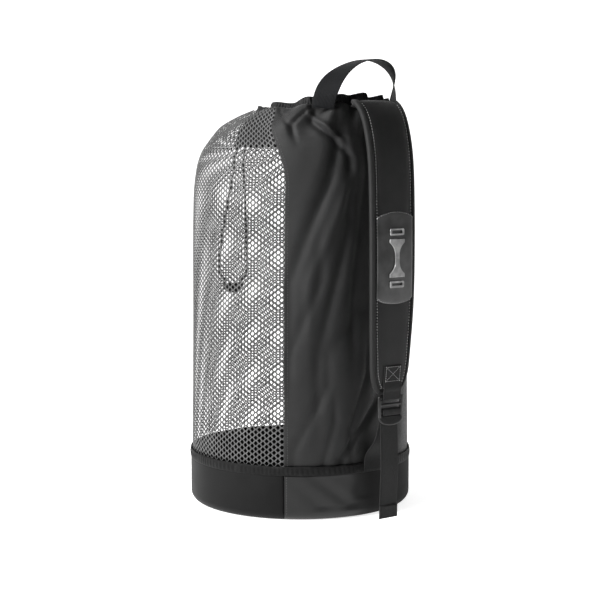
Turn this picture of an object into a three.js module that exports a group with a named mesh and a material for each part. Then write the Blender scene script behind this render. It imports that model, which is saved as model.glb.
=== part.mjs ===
// Mesh dive gear bag: a coated round base, a net body with a nylon back panel, a gathered mouth,
// a haul handle and a padded shoulder strap.
// Millimetres, +Z up. The origin is the centre of the base underside. +Y is the back, with the panel
// and the strap, and -Y is the front, where the draw cord hangs.
import * as THREE from "three";

// Driving sizes
const FIT = 0.3;
const BASE_RADIUS = 206;
const BASE_HEIGHT = 82;
const BASE_CORNER = 16;
const BASE_WALL = 2.4;
const BASE_COLUMNS = 44;
const BINDING_HEIGHT = 14;
const BINDING_WALL = 3;
const BODY_INSET = 3;
const BODY_HEIGHT = 634;
const BODY_WALL = 2;
const PANEL_HALF_ANGLE = 45;
const PANEL_FLARE = 35;
const RUFFLE_COUNT = 12;
const RUFFLE_DEPTH = 14;
const RUFFLE_DROP = 5;
const MOUTH_SIDE = -10;
const MOUTH_BACK = 58;
const MOUTH_BACK_RISE = 8;
const CASING_HEIGHT = 67;
const CASING_STAND = 16;
const CASING_WALL = 2;
const NET_COLUMNS = 15;
const NET_ROWS = 7;
const NET_STRAND = 12;
const NET_TOP = 0.86;
const WEBBING_WIDTH = 40;
const WEBBING_THICK = 2;
const HANDLE_ANGLE = 33;
const HANDLE_TURN = 3;
const HANDLE_SKEW = 0.12;
const HANDLE_BACK = 8;
const HANDLE_RISE = 84;
const STRAP_SIDE = -8;
const PAD_WIDTH = 94;
const PAD_THICK = 17;
const PAD_PIPING = 3.2;
const PATCH_WIDTH = 81;
const PATCH_THICK = 1.2;
const KEEPER_WIDTH = 33;
const KEEPER_LENGTH = 101;
const KEEPER_THICK = 2;
const BUCKLE_WIDTH = 56;
const BUCKLE_THICK = 6;
const CORD_RADIUS = 2.5;
const PULL_WIDTH = 48;
const PULL_HEIGHT = 20;
const PULL_THICK = 8;

// Places that follow from the sizes
const BODY_RADIUS = BASE_RADIUS - BODY_INSET;
const SEAM_Z = BASE_HEIGHT + FIT + BINDING_HEIGHT + FIT;
const MOUTH_Z = SEAM_Z + BODY_HEIGHT;
const STEP = 360 / (RUFFLE_COUNT * 7);
const SEAM_TURN = 0.05;
const NET_HALF_CELL = NET_TOP / (NET_ROWS * 2 + 1);
const FLARE_START = NET_TOP - 2 * NET_HALF_CELL;
const SIDE = new THREE.Vector3(1, 0, 0);

// The body from the base seam to the mouth. along is the share of the way up the cloth, height is a
// share of BODY_HEIGHT, radius of BODY_RADIUS, lean of the mouth's shift, ruffle of the ruffle depth.
const BODY_SECTIONS = [
  { along: 0, height: 0, radius: 1, lean: 0, ruffle: 0 },
  { along: 0.36, height: 0.37, radius: 0.988, lean: 0, ruffle: 0 },
  { along: 0.716, height: 0.737, radius: 0.983, lean: 0.03, ruffle: 0 },
  { along: 0.804, height: 0.827, radius: 0.965, lean: 0.09, ruffle: 0 },
  { along: 0.85, height: 0.873, radius: 0.928, lean: 0.13, ruffle: 0.04 },
  { along: 0.882, height: 0.904, radius: 0.882, lean: 0.21, ruffle: 0.15 },
  { along: 0.902, height: 0.922, radius: 0.852, lean: 0.27, ruffle: 0.3 },
  { along: 0.932, height: 0.95, radius: 0.81, lean: 0.44, ruffle: 0.6 },
  { along: 0.971, height: 0.981, radius: 0.721, lean: 0.78, ruffle: 0.9 },
  { along: 1, height: 1, radius: 0.632, lean: 1, ruffle: 1 },
];

// The mouth casing hangs inside the net. height is a share of CASING_HEIGHT below the mouth line or of
// CASING_STAND above it, radius is a share of BODY_RADIUS.
const CASING_SECTIONS = [
  { along: 0, height: -1, radius: 0.727, lean: 0.62, ruffle: 0.35 },
  { along: 0.33, height: -0.6, radius: 0.699, lean: 0.66, ruffle: 0.6 },
  { along: 0.63, height: -0.25, radius: 0.637, lean: 0.8, ruffle: 0.9 },
  { along: 0.84, height: 0, radius: 0.606, lean: 1, ruffle: 1 },
  { along: 1, height: 1, radius: 0.59, lean: 1, ruffle: 1 },
];

// Soft folds pressed into the back panel, each a line between two places. angle is a share of
// PANEL_HALF_ANGLE, along is the share of the way up, depth in millimetres, wide in degrees.
const PANEL_FOLDS = [
  { angle: 0.35, along: 0.02, toAngle: -0.14, toAlong: 0.17, depth: 6, wide: 2.6 },
  { angle: 0.98, along: 0.6, toAngle: 0.6, toAlong: 0.84, depth: -3, wide: 4 },
  { angle: 0.85, along: 0.6, toAngle: 0.5, toAlong: 0.77, depth: 3, wide: 3.5 },
  { angle: 0.8, along: 0.22, toAngle: 0.1, toAlong: 0.42, depth: 3, wide: 5 },
  { angle: -0.85, along: 0.25, toAngle: -0.4, toAlong: 0.6, depth: 3, wide: 5 },
  { angle: -0.5, along: 0.05, toAngle: -0.9, toAlong: 0.3, depth: 3.5, wide: 4 },
];

// The strap's centre line from its root to the pad's end. back is the distance behind the bag's axis
// as a share of BODY_RADIUS, height a share of MOUTH_Z.
const PAD_ROUTE = [
  { back: 0.941, height: 0.994 },
  { back: 1.015, height: 1.01 },
  { back: 1.11, height: 0.99 },
  { back: 1.185, height: 0.945 },
  { back: 1.24, height: 0.87 },
  { back: 1.262, height: 0.74 },
  { back: 1.266, height: 0.56 },
  { back: 1.243, height: 0.41 },
  { back: 1.222, height: 0.316 },
];

// Pad sections. width is a share of PAD_WIDTH, thick of PAD_THICK.
const PAD_SECTIONS = [
  { along: 0, width: 0.96, thick: 0.3 },
  { along: 0.05, width: 1, thick: 0.62 },
  { along: 0.12, width: 1, thick: 1 },
  { along: 0.5, width: 1, thick: 1 },
  { along: 0.72, width: 0.97, thick: 1 },
  { along: 0.88, width: 0.88, thick: 1 },
  { along: 0.94, width: 0.82, thick: 0.95 },
  { along: 0.98, width: 0.68, thick: 0.85 },
  { along: 1, width: 0.5, thick: 0.7 },
];

// Draw cord routes, from the casing at the front of the mouth over the net and down to the pull
const CORD_LEFT = [
  [-2, -64.5, 727.6],
  [0, -84, 731],
  [4, -111, 722],
  [9, -145, 702],
  [13, -171, 674],
  [15, -189.5, 642],
  [16, -196.5, 605],
  [21, -200, 574],
  [33, -200.5, 518],
  [43, -199, 470],
  [48, -198.2, 430],
  [43, -200.5, 408],
  [35, -203.6, 400],
  [30, -205.4, 396],
  [28.3, -205.9, 392.3],
];
const CORD_RIGHT = [
  [-18, -64.5, 727.6],
  [-18, -84, 731],
  [-14, -112, 722],
  [-9, -146, 702],
  [-5, -172, 674],
  [-6, -190.5, 642],
  [-11, -198, 605],
  [-16.5, -202.5, 570],
  [-19, -204, 510],
  [-21.7, -204, 452],
  [-22.5, -204.2, 420],
  [-19, -205.4, 404],
  [-12, -207, 398],
  [-8.8, -207.6, 392.3],
];
const CORD_STEPS = 25;
const PULL_ANGLE = 177.3;
const PULL_TOP_Z = 391;

// Small helpers
const rad = THREE.MathUtils.degToRad;
const range = (count) => Array.from({ length: count }, (_, k) => k);
const spread = (from, to, count) => range(count + 1).map((k) => from + ((to - from) * k) / count);

// Reads a table of sections as smooth curves of its named columns.
function reader(table, columns) {
  const places = table.map((row) => row.along);
  const values = table.flatMap((row) => columns.map((name) => row[name]));
  const curve = new THREE.CubicInterpolant(places, values, columns.length);
  return (along) => {
    const read = curve.evaluate(THREE.MathUtils.clamp(along, 0, 1));
    return Object.fromEntries(columns.map((name, k) => [name, read[k]]));
  };
}

const bodySection = reader(BODY_SECTIONS, ["height", "radius", "lean", "ruffle"]);
const casingSection = reader(CASING_SECTIONS, ["height", "radius", "lean", "ruffle"]);
const padSection = reader(PAD_SECTIONS, ["width", "thick"]);

// Uneven ruffles round the mouth: 0 on a hump, 1 in a fold.
function ruffle(angle) {
  const a = rad(angle);
  const phase = RUFFLE_COUNT * a + 1.1 * Math.sin(2 * a) + 0.8 * Math.sin(a);
  return (1 - Math.cos(phase)) / 2;
}

function panelFold(angle, along) {
  let sum = 0;
  for (const fold of PANEL_FOLDS) {
    const run = fold.toAlong - fold.along;
    const t = (along - fold.along) / run;
    const share = THREE.MathUtils.clamp(t, 0, 1);
    const middle = (fold.angle + (fold.toAngle - fold.angle) * share) * PANEL_HALF_ANGLE;
    const across = (angle - middle) / fold.wide;
    const beyond = (t - share) * 6;
    sum += fold.depth * Math.exp(-across * across - beyond * beyond);
  }
  const edge = Math.cos((angle / PANEL_HALF_ANGLE) * (Math.PI / 2));
  return Math.abs(angle) < PANEL_HALF_ANGLE ? sum * edge : 0;
}

// The sack's outer surface. angle is in degrees from the back toward +X.
function body(angle, along) {
  const row = bodySection(along);
  const fold = row.ruffle * ruffle(angle);
  const reach = row.radius * BODY_RADIUS - fold * RUFFLE_DEPTH - panelFold(angle, along);
  const z = SEAM_Z + row.height * BODY_HEIGHT + row.lean * MOUTH_BACK_RISE * Math.cos(rad(angle));
  return new THREE.Vector3(
    row.lean * MOUTH_SIDE + reach * Math.sin(rad(angle)),
    row.lean * MOUTH_BACK + reach * Math.cos(rad(angle)),
    z - fold * RUFFLE_DROP,
  );
}

function casing(angle, along) {
  const row = casingSection(along);
  const fold = row.ruffle * ruffle(angle);
  const reach = row.radius * BODY_RADIUS - fold * RUFFLE_DEPTH;
  const low = 1 - 0.5 * Math.sin(rad(angle)) ** 6;
  const up = CASING_STAND * (0.78 + 0.22 * Math.cos(rad(angle))) * low;
  const stand = row.height * (row.height < 0 ? CASING_HEIGHT : up);
  const tilt = row.lean * MOUTH_BACK_RISE * Math.cos(rad(angle));
  return new THREE.Vector3(
    row.lean * MOUTH_SIDE + reach * Math.sin(rad(angle)),
    row.lean * MOUTH_BACK + reach * Math.cos(rad(angle)),
    MOUTH_Z + stand + tilt - fold * RUFFLE_DROP,
  );
}

// Half the panel's angle at a place up the cloth. The panel widens from FLARE_START to the mouth.
function panelHalf(along) {
  const share = THREE.MathUtils.clamp((along - FLARE_START) / (1 - FLARE_START), 0, 1);
  return PANEL_HALF_ANGLE + PANEL_FLARE * share ** 2.2;
}

const panelSurface = (angle, along) => body((angle * panelHalf(along)) / PANEL_HALF_ANGLE, along);

function netSurface(angle, along) {
  const share = (angle - 180) / (180 - PANEL_HALF_ANGLE);
  return body(180 + share * (180 - panelHalf(along)), along);
}

// The same surface moved in along its normal by depth.
function inside(surface, depth) {
  return (angle, along) => {
    const low = Math.max(0, along - 0.004);
    const high = Math.min(1, along + 0.004);
    const across = surface(angle + 0.5, along).sub(surface(angle - 0.5, along));
    const up = surface(angle, high).sub(surface(angle, low));
    const normal = new THREE.Vector3().crossVectors(up, across).normalize();
    return surface(angle, along).addScaledVector(normal, -depth);
  };
}

// Turns points and faces into a closed body that faces out.
function closedBody(positions, index) {
  const corner = (k) => new THREE.Vector3().fromArray(positions, index[k] * 3);
  let volume = 0;
  for (let k = 0; k < index.length; k += 3) {
    volume += corner(k).dot(corner(k + 1).cross(corner(k + 2)));
  }
  const geometry = new THREE.BufferGeometry();
  geometry.setAttribute("position", new THREE.Float32BufferAttribute(positions, 3));
  geometry.setIndex(volume > 0 ? index : index.slice().reverse());
  geometry.computeVertexNormals();
  return geometry;
}

// A rectangular sheet of cells over the places us by vs. A closed sheet meets itself in u.
function grid(us, vs, closed = false) {
  const wide = us.length;
  const points = vs.flatMap((v) => us.map((u) => [u, v]));
  const cells = closed ? wide : wide - 1;
  const faces = range(vs.length - 1).flatMap((j) =>
    range(cells).map((i) => {
      const next = (i + 1) % wide;
      return [j * wide + i, j * wide + next, (j + 1) * wide + next, (j + 1) * wide + i];
    }),
  );
  return { points, faces };
}

// Gives a flat sheet an outer side, an inner side and a wall along every open edge.
function thicken(sheet, outer, inner) {
  const count = sheet.points.length;
  const side = (place) => sheet.points.flatMap(([u, v]) => place(u, v).toArray());
  const edges = new Set();
  const index = [];
  for (const face of sheet.faces) {
    face.forEach((p, k) => edges.add(`${p} ${face[(k + 1) % face.length]}`));
  }
  for (const face of sheet.faces) {
    for (const k of range(face.length - 2)) {
      index.push(face[0], face[k + 1], face[k + 2]);
      index.push(face[0] + count, face[k + 2] + count, face[k + 1] + count);
    }
    face.forEach((p, k) => {
      const q = face[(k + 1) % face.length];
      if (!edges.has(`${q} ${p}`)) {
        index.push(q, p, p + count, q, p + count, q + count);
      }
    });
  }
  return closedBody([...side(outer), ...side(inner)], index);
}

// Joins a row of equal convex rings of points into one body with two end caps.
function loft(rings) {
  const n = rings[0].length;
  const positions = rings.flat().flatMap((p) => p.toArray());
  const index = [];
  for (const r of range(rings.length - 1)) {
    for (const k of range(n)) {
      const m = (k + 1) % n;
      index.push(r * n + k, r * n + m, (r + 1) * n + m, r * n + k, (r + 1) * n + m, (r + 1) * n + k);
    }
  }
  const end = (rings.length - 1) * n;
  for (const k of range(n - 2)) {
    index.push(0, k + 2, k + 1, end, end + k + 1, end + k + 2);
  }
  return closedBody(positions, index);
}

// Base
function baseFloor() {
  const reach = BASE_RADIUS - BASE_CORNER;
  const profile = [
    [0, 0],
    [reach, 0],
    [reach, BASE_WALL],
    [0, BASE_WALL],
  ];
  const outline = profile.map(([x, y]) => new THREE.Vector2(x, y));
  return new THREE.LatheGeometry(outline, BASE_COLUMNS, Math.PI / BASE_COLUMNS).rotateX(Math.PI / 2);
}

// The wall starts beside the floor's edge, turns up round the corner and stands to BASE_HEIGHT.
function baseWall(from, to, columns) {
  const turn = 3;
  const profile = (depth) => (angle, row) => {
    const bend = Math.min(row, turn) / turn;
    const radius = BASE_RADIUS - BASE_CORNER + (BASE_CORNER - depth) * Math.sin(bend * rad(90));
    const rise = BASE_CORNER - (BASE_CORNER - depth) * Math.cos(bend * rad(90));
    const up = row > turn ? (BASE_HEIGHT - BASE_CORNER) * (row - turn) : 0;
    const out = row === 0 ? FIT : 0;
    return new THREE.Vector3(
      (radius + out) * Math.sin(rad(angle)),
      (radius + out) * Math.cos(rad(angle)),
      rise + up,
    );
  };
  const sheet = grid(spread(from, to, columns), spread(0, turn + 1, turn + 1));
  return thicken(sheet, profile(0), profile(BASE_WALL));
}

function baseBinding() {
  const low = BASE_HEIGHT + FIT;
  const place = (radius) => (angle, z) =>
    new THREE.Vector3(radius * Math.sin(rad(angle)), radius * Math.cos(rad(angle)), z);
  const sheet = grid(spread(0, 360, BASE_COLUMNS).slice(0, -1), [low, low + BINDING_HEIGHT], true);
  return thicken(sheet, place(BASE_RADIUS), place(BASE_RADIUS - BINDING_WALL));
}

// Net and panel

// A sheet of staggered six-sided gaps between two angles, with a solid band up to the mouth.
function netSheet(from, to) {
  const wide = (to - from) / NET_COLUMNS;
  const tall = 2 * NET_HALF_CELL;
  const points = [];
  const faces = [];
  const known = new Map();
  const point = (u, v) => {
    const key = `${u.toFixed(4)} ${v.toFixed(5)}`;
    if (!known.has(key)) {
      known.set(key, points.length);
      points.push([u, v]);
    }
    return known.get(key);
  };
  const arc = rad(wide) * BODY_RADIUS;
  const rise = tall * BODY_HEIGHT;
  for (const column of range(NET_COLUMNS)) {
    const middle = from + (column + 0.5) * wide;
    const base = column % 2 ? tall / 2 : 0;
    const edge = (sign, corner) => {
      const atEnd = column + sign < 0 || column + sign >= NET_COLUMNS;
      return middle + sign * (wide / 2 + (atEnd ? 0 : ((corner ? -1 : 1) * wide) / 6));
    };
    const left = [edge(-1, true), edge(-1, false)];
    const right = [edge(1, true), edge(1, false)];
    for (const row of range(NET_ROWS)) {
      const low = base + row * tall;
      const heart = low + tall / 2;
      const ring = [
        [left[0], low],
        [right[0], low],
        [right[1], heart],
        [right[0], low + tall],
        [left[0], low + tall],
        [left[1], heart],
      ];
      const hole = ring.map(([u, v]) => [
        middle + (u - middle) * (1 - NET_STRAND / arc),
        heart + (v - heart) * (1 - NET_STRAND / rise),
      ]);
      const a = ring.map(([u, v]) => point(u, v));
      const b = hole.map(([u, v]) => point(u, v));
      for (const k of range(6)) {
        const m = (k + 1) % 6;
        faces.push([a[k], a[m], b[m], b[k]]);
      }
    }
    // The half cell that the stagger leaves at the bottom or the top is solid.
    const low = base ? 0 : NET_ROWS * tall;
    const quarter = [low, low + tall / 2];
    const lowSide = base ? 1 : 0;
    faces.push([
      point(left[lowSide], quarter[0]),
      point(right[lowSide], quarter[0]),
      point(right[1 - lowSide], quarter[1]),
      point(left[1 - lowSide], quarter[1]),
    ]);
  }
  return { points, faces, point };
}

function netWall() {
  const from = PANEL_HALF_ANGLE;
  const to = 360 - PANEL_HALF_ANGLE;
  const seam = ((3 * FIT) / BODY_RADIUS) * (180 / Math.PI);
  const wide = (to - from) / NET_COLUMNS;
  const sheet = netSheet(from, to);
  const bandAngles = spread(from, to, Math.round((to - from) / STEP));
  const bandRows = [0.884, 0.92, 0.96, 1];
  // The band's lowest row fans down to the corners of the net's top cells.
  const tops = range(NET_COLUMNS + 1).map((k) => {
    const shift = k === 0 || k === NET_COLUMNS ? 0 : wide / 6;
    return from + k * wide + (k % 2 ? shift : -shift);
  });
  const band = grid(bandAngles, bandRows);
  const lift = band.points.map(([u, v]) => sheet.point(u, v));
  band.faces.forEach((face) => sheet.faces.push(face.map((p) => lift[p])));
  const row = bandAngles.map((u) => sheet.point(u, bandRows[0]));
  const bottom = tops.map((u) => sheet.point(u, NET_TOP));
  // Walks both rows at once and joins them with triangles.
  let i = 0;
  let j = 0;
  while (i + 1 < bottom.length || j + 1 < row.length) {
    const nextBottom = i + 1 < bottom.length ? tops[i + 1] : Infinity;
    const nextRow = j + 1 < row.length ? bandAngles[j + 1] : Infinity;
    if (nextBottom <= nextRow) {
      sheet.faces.push([bottom[i], bottom[i + 1], row[j]]);
      i += 1;
    } else {
      sheet.faces.push([bottom[i], row[j + 1], row[j]]);
      j += 1;
    }
  }
  const clear = (angle) => THREE.MathUtils.clamp(angle, from + seam, to - seam);
  const outer = (angle, along) => netSurface(clear(angle), along);
  const inner = inside(netSurface, BODY_WALL);
  return thicken(sheet, outer, (angle, along) => inner(clear(angle), along));
}

function backPanel() {
  const columns = Math.round((2 * PANEL_HALF_ANGLE) / STEP);
  const angles = spread(-PANEL_HALF_ANGLE, PANEL_HALF_ANGLE, columns);
  const rows = [...spread(0, 0.24, 4), 0.36, 0.52, ...spread(FLARE_START - NET_HALF_CELL, NET_TOP, 3)];
  rows.push(0.884, 0.92, 0.96, 1);
  return thicken(grid(angles, rows), panelSurface, inside(panelSurface, BODY_WALL));
}

// The panel's flat facets between its last two rows, a third of the way down from the mouth.
function panelFacet(angle) {
  const column = (along) => {
    const u = (angle * PANEL_HALF_ANGLE) / panelHalf(along);
    const low = (Math.floor(u / STEP - 0.5) + 0.5) * STEP;
    return panelSurface(low, along).lerp(panelSurface(low + STEP, along), (u - low) / STEP);
  };
  return column(0.96).lerp(column(1), 0.63);
}

function mouthCasing() {
  const rows = [0, 0.45, 0.84, 1];
  const sheet = grid(spread(0, 360, RUFFLE_COUNT * 7).slice(0, -1), rows, true);
  return thicken(sheet, casing, inside(casing, CASING_WALL));
}

// Ribbons and the strap

// A flat strip along a row of places, each with its centre, its width's direction and its normal.
function strip(places, width, thick) {
  const corners = [
    [-0.5, -0.5],
    [0.5, -0.5],
    [0.5, 0.5],
    [-0.5, 0.5],
  ];
  return loft(
    places.map(({ centre, across, normal }) =>
      corners.map(([w, t]) =>
        centre.clone().addScaledVector(across, w * width).addScaledVector(normal, t * thick),
      ),
    ),
  );
}

// A strip whose path runs in the plane of Y and Z at one side place.
function sidePath(side, route) {
  const points = route.map(([y, z]) => new THREE.Vector3(side, y, z));
  return points.map((centre, k) => {
    const before = points[Math.max(0, k - 1)];
    const after = points[Math.min(points.length - 1, k + 1)];
    const along = after.clone().sub(before).normalize();
    return { centre, across: SIDE, normal: new THREE.Vector3().crossVectors(SIDE, along) };
  });
}

// The handle's legs lie flat on the gathered mouth and turn into the arch.
function haulHandle() {
  const foot = (sign) => {
    const angle = HANDLE_TURN + sign * HANDLE_ANGLE;
    const out = new THREE.Vector3(Math.sin(rad(angle)), Math.cos(rad(angle)), 0);
    const seats = spread(-9, 9, 12).map((turn) => panelFacet(angle + turn).dot(out));
    const place = body(angle, 0.985);
    const stand = Math.max(...seats) - place.dot(out) + WEBBING_THICK / 2 + 2 * FIT;
    return place.addScaledVector(out, stand);
  };
  const right = foot(1);
  const left = foot(-1);
  const places = spread(0, 1, 28).map((share) => {
    const turn = Math.PI * share;
    const bow = Math.pow(Math.sin(turn), 1.2);
    const centre = right.clone().lerp(left, (1 - Math.cos(turn)) / 2 + HANDLE_SKEW * bow);
    centre.y += HANDLE_BACK * bow;
    centre.z += HANDLE_RISE * Math.pow(Math.sin(turn), 0.8) + WEBBING_THICK;
    return { centre, turn, bow };
  });
  return strip(
    places.map(({ centre, turn, bow }, k) => {
      const before = places[Math.max(0, k - 1)].centre;
      const after = places[Math.min(places.length - 1, k + 1)].centre;
      const along = after.clone().sub(before).normalize();
      const side = Math.sign(Math.cos(turn));
      const twist = rad((90 - HANDLE_ANGLE) * side - HANDLE_TURN) * (1 - bow);
      const across = new THREE.Vector3(Math.sin(twist), -Math.cos(twist), 0);
      across.addScaledVector(along, -across.dot(along)).normalize();
      return { centre, across, normal: new THREE.Vector3().crossVectors(across, along) };
    }),
    WEBBING_WIDTH,
    WEBBING_THICK,
  );
}

const padRoute = new THREE.CatmullRomCurve3(
  PAD_ROUTE.map((row) => new THREE.Vector3(STRAP_SIDE, row.back * BODY_RADIUS, row.height * MOUTH_Z)),
);
const padLength = padRoute.getLength();

// A place on the strap: side from its centre line, share along it, lift off its middle.
function padPlace(side, along, lift) {
  const centre = padRoute.getPointAt(along);
  const forward = padRoute.getTangentAt(along);
  const normal = new THREE.Vector3().crossVectors(SIDE, forward);
  return centre.addScaledVector(SIDE, side).addScaledVector(normal, lift);
}

// Half the pad's thickness at a share of its half width.
function padCrown(along, share) {
  return (padSection(along).thick * PAD_THICK * (1 - 0.38 * Math.pow(Math.abs(share), 3))) / 2;
}

function shoulderPad() {
  const shares = [-1, -0.8, -0.4, 0, 0.4, 0.8, 1];
  const stations = [0, 0.025, 0.05, 0.085, 0.12, ...spread(0.17, 0.92, 11), 0.94, 0.96, 0.98, 1];
  return loft(
    stations.map((along) => {
      const half = (padSection(along).width * PAD_WIDTH) / 2;
      const face = (sign) =>
        shares.map((share) => padPlace(sign * share * half, along, sign * padCrown(along, share)));
      return [...face(1), ...face(-1)];
    }),
  );
}

// The edge tape goes down one side of the pad, round its end and up the other.
function padPiping() {
  const stations = [...spread(0.03, 0.9, 12), 0.94, 0.97, 0.985, 1];
  const half = (along) => (padSection(along).width * PAD_WIDTH) / 2;
  const down = stations.map((along) => [half(along), along]);
  const up = down.map(([w, along]) => [-w, along]).reverse();
  const outline = [...down, ...up];
  const flat = outline.map(([w, along]) => new THREE.Vector2(w, along * padLength));
  return loft(
    outline.map(([w, along], k) => {
      const before = flat[Math.max(0, k - 1)];
      const after = flat[Math.min(flat.length - 1, k + 1)];
      const run = after.clone().sub(before).normalize();
      const out = new THREE.Vector2(run.y, -run.x);
      const tall = padCrown(along, 1) + 0.8;
      const corner = (reach, lift) => {
        const place = Math.min(1, along);
        const extra = along * padLength + out.y * reach - place * padLength;
        const forward = padRoute.getTangentAt(place);
        return padPlace(w + out.x * reach, place, lift).addScaledVector(forward, extra);
      };
      const near = 2 * FIT;
      const far = near + PAD_PIPING;
      const low = tall * 0.7;
      return [corner(near, -tall), corner(far, -low), corner(far, low), corner(near, tall)];
    }),
  );
}

// The share of the pad's length at a height below the strap's crown.
function padShare(z) {
  let low = 0.2;
  let high = 1;
  for (let k = 0; k < 30; k += 1) {
    const middle = (low + high) / 2;
    if (padRoute.getPointAt(middle).z > z) {
      low = middle;
    } else {
      high = middle;
    }
  }
  return low;
}

// A sheet on the pad's outer face. half gives its half width and shift moves it along.
function onPad(from, to, rows, half, lift, thick) {
  const face = (depth) => (share, row) => {
    const side = share * half(row, share);
    const along = from + (to - from) * row;
    const width = (padSection(along).width * PAD_WIDTH) / 2;
    return padPlace(side, along, padCrown(along, side / width) + lift + depth);
  };
  return thicken(grid(spread(-1, 1, 6), spread(0, 1, rows)), face(thick), face(0));
}

const PATCH_TOP = padShare(MOUTH_Z * 0.753);
const PATCH_END = padShare(MOUTH_Z * 0.529);
const PATCH_LIFT = 2 * FIT;

function strapPatch() {
  const round = (row) => Math.pow(Math.min(1, 8 * Math.min(row, 1 - row) + 0.35), 0.5);
  const half = (row) => (PATCH_WIDTH / 2) * round(row);
  return onPad(PATCH_TOP, PATCH_END, 10, half, PATCH_LIFT, PATCH_THICK);
}

function patchKeeper() {
  const middle = (PATCH_TOP + PATCH_END) / 2;
  const reach = KEEPER_LENGTH / padLength / 2;
  const half = (row) => (KEEPER_WIDTH / 2) * (0.34 + 0.66 * Math.pow(Math.abs(2 * row - 1), 1.6));
  const lift = PATCH_LIFT + PATCH_THICK + 1.5 * FIT;
  return onPad(middle - reach, middle + reach, 8, half, lift, KEEPER_THICK);
}

// Buckle and webbing below the pad
const END = padPlace(0, 1, 0);
const BUCKLE_Y = END.y + PAD_THICK * 0.35;
const BUCKLE_GAP = 6;
const BUCKLE_TOP = END.z - BUCKLE_GAP;
const BUCKLE = { bar: 6, slot: 7, tab: 13, rib: 6 };

// From the top down: a bar, the pad's slot, a bar, a slot, the middle bar, a slot and the tab.
function buckleLevels() {
  const { bar, slot, tab, rib } = BUCKLE;
  const steps = [bar, slot, bar, slot, rib, slot, tab];
  const levels = [0];
  steps.forEach((step) => levels.push(levels.at(-1) + step));
  return levels.map((down) => BUCKLE_TOP - down);
}

function ladderLock() {
  const levels = buckleLevels();
  const half = BUCKLE_WIDTH / 2;
  const outline = new THREE.Shape();
  const low = levels[6] - BUCKLE.tab * 0.15;
  const end = levels[7];
  outline.moveTo(-half, BUCKLE_TOP);
  outline.lineTo(-half, low);
  outline.quadraticCurveTo(-half * 0.9, end, -half * 0.35, end);
  outline.lineTo(half * 0.35, end);
  outline.quadraticCurveTo(half * 0.9, end, half, low);
  outline.lineTo(half, BUCKLE_TOP);
  const slotHalf = WEBBING_WIDTH / 2 + 2 * FIT;
  for (const k of [1, 3, 5]) {
    const hole = new THREE.Path();
    hole.moveTo(-slotHalf, levels[k]);
    hole.lineTo(slotHalf, levels[k]);
    hole.lineTo(slotHalf, levels[k + 1]);
    hole.lineTo(-slotHalf, levels[k + 1]);
    outline.holes.push(hole);
  }
  const geometry = new THREE.ExtrudeGeometry(outline, {
    depth: BUCKLE_THICK,
    bevelEnabled: false,
    curveSegments: 6,
  });
  geometry.rotateX(Math.PI / 2);
  return geometry.translate(STRAP_SIDE, BUCKLE_Y + BUCKLE_THICK / 2, 0);
}

// The tab is sewn on the pad's face, goes down and loops round the buckle's top bar.
function padWebbing() {
  const levels = buckleLevels();
  const gap = FIT + WEBBING_THICK / 2;
  const onFace = [0.912, 0.938, 0.962].map((along) => {
    const place = padPlace(0, along, padCrown(along, 0) + gap + FIT);
    return [place.y, place.z];
  });
  const front = BUCKLE_Y + BUCKLE_THICK / 2 + gap;
  const back = BUCKLE_Y - BUCKLE_THICK / 2 - gap;
  const under = levels[1] - gap;
  const route = [
    ...onFace,
    [front + 2, END.z + 7],
    [front + 0.4, END.z],
    [front, levels[0] - 1],
    [front, levels[1]],
    [front - 0.9, under + 0.1],
    [front - 2.2, under - 0.4],
    [back + 2.2, under - 0.4],
    [back + 0.9, under + 0.1],
    [back, levels[1]],
    [back, levels[0] + 1.2],
  ];
  return strip(sidePath(STRAP_SIDE, route), WEBBING_WIDTH, WEBBING_THICK);
}

// One strap: sewn at the base seam, up behind the buckle, over its middle bar and down as the tail.
function adjusterWebbing() {
  const levels = buckleLevels();
  const gap = FIT + WEBBING_THICK / 2;
  const front = BUCKLE_Y + BUCKLE_THICK / 2 + gap;
  const back = BUCKLE_Y - BUCKLE_THICK / 2 - gap;
  const behind = back - WEBBING_THICK - FIT;
  const over = levels[4] + gap;
  const under = levels[5] - gap;
  const seam = BASE_RADIUS + gap;
  const route = [
    [seam, BASE_HEIGHT + 2],
    [seam, SEAM_Z + 6],
    [seam + 2.5 * WEBBING_THICK, SEAM_Z + WEBBING_WIDTH / 2],
    [behind - 14, levels[7] - 32],
    [behind - 4, levels[7] - 8],
    [behind, levels[6]],
    [behind, over - 3],
    [behind + 1, over + 1.4],
    [back + 1.2, over + 1.8],
    [front - 1.6, over + 1],
    [front, over - 1.6],
    [front, under + 1.6],
    [front - 1.6, under - 1],
    [back + 1.2, under - 1.8],
    [back + 0.2, under - 4],
    [back, levels[7]],
    [back + 1.5, levels[7] - 30],
    [back + 3, levels[7] - 80],
    [back + 1, 60],
    [back - 1, 4],
  ];
  return strip(sidePath(STRAP_SIDE, route), WEBBING_WIDTH, WEBBING_THICK);
}

// Draw cord
function cordSection() {
  const circle = new THREE.Shape();
  range(8).forEach((k) => {
    const turn = rad(45 * k);
    const corner = [CORD_RADIUS * Math.cos(turn), CORD_RADIUS * Math.sin(turn)];
    circle[k ? "lineTo" : "moveTo"](...corner);
  });
  return circle;
}

function drawCord(route) {
  const curve = new THREE.CatmullRomCurve3(route.map((place) => new THREE.Vector3(...place)));
  return new THREE.ExtrudeGeometry(cordSection(), { steps: CORD_STEPS, extrudePath: curve });
}

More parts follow.
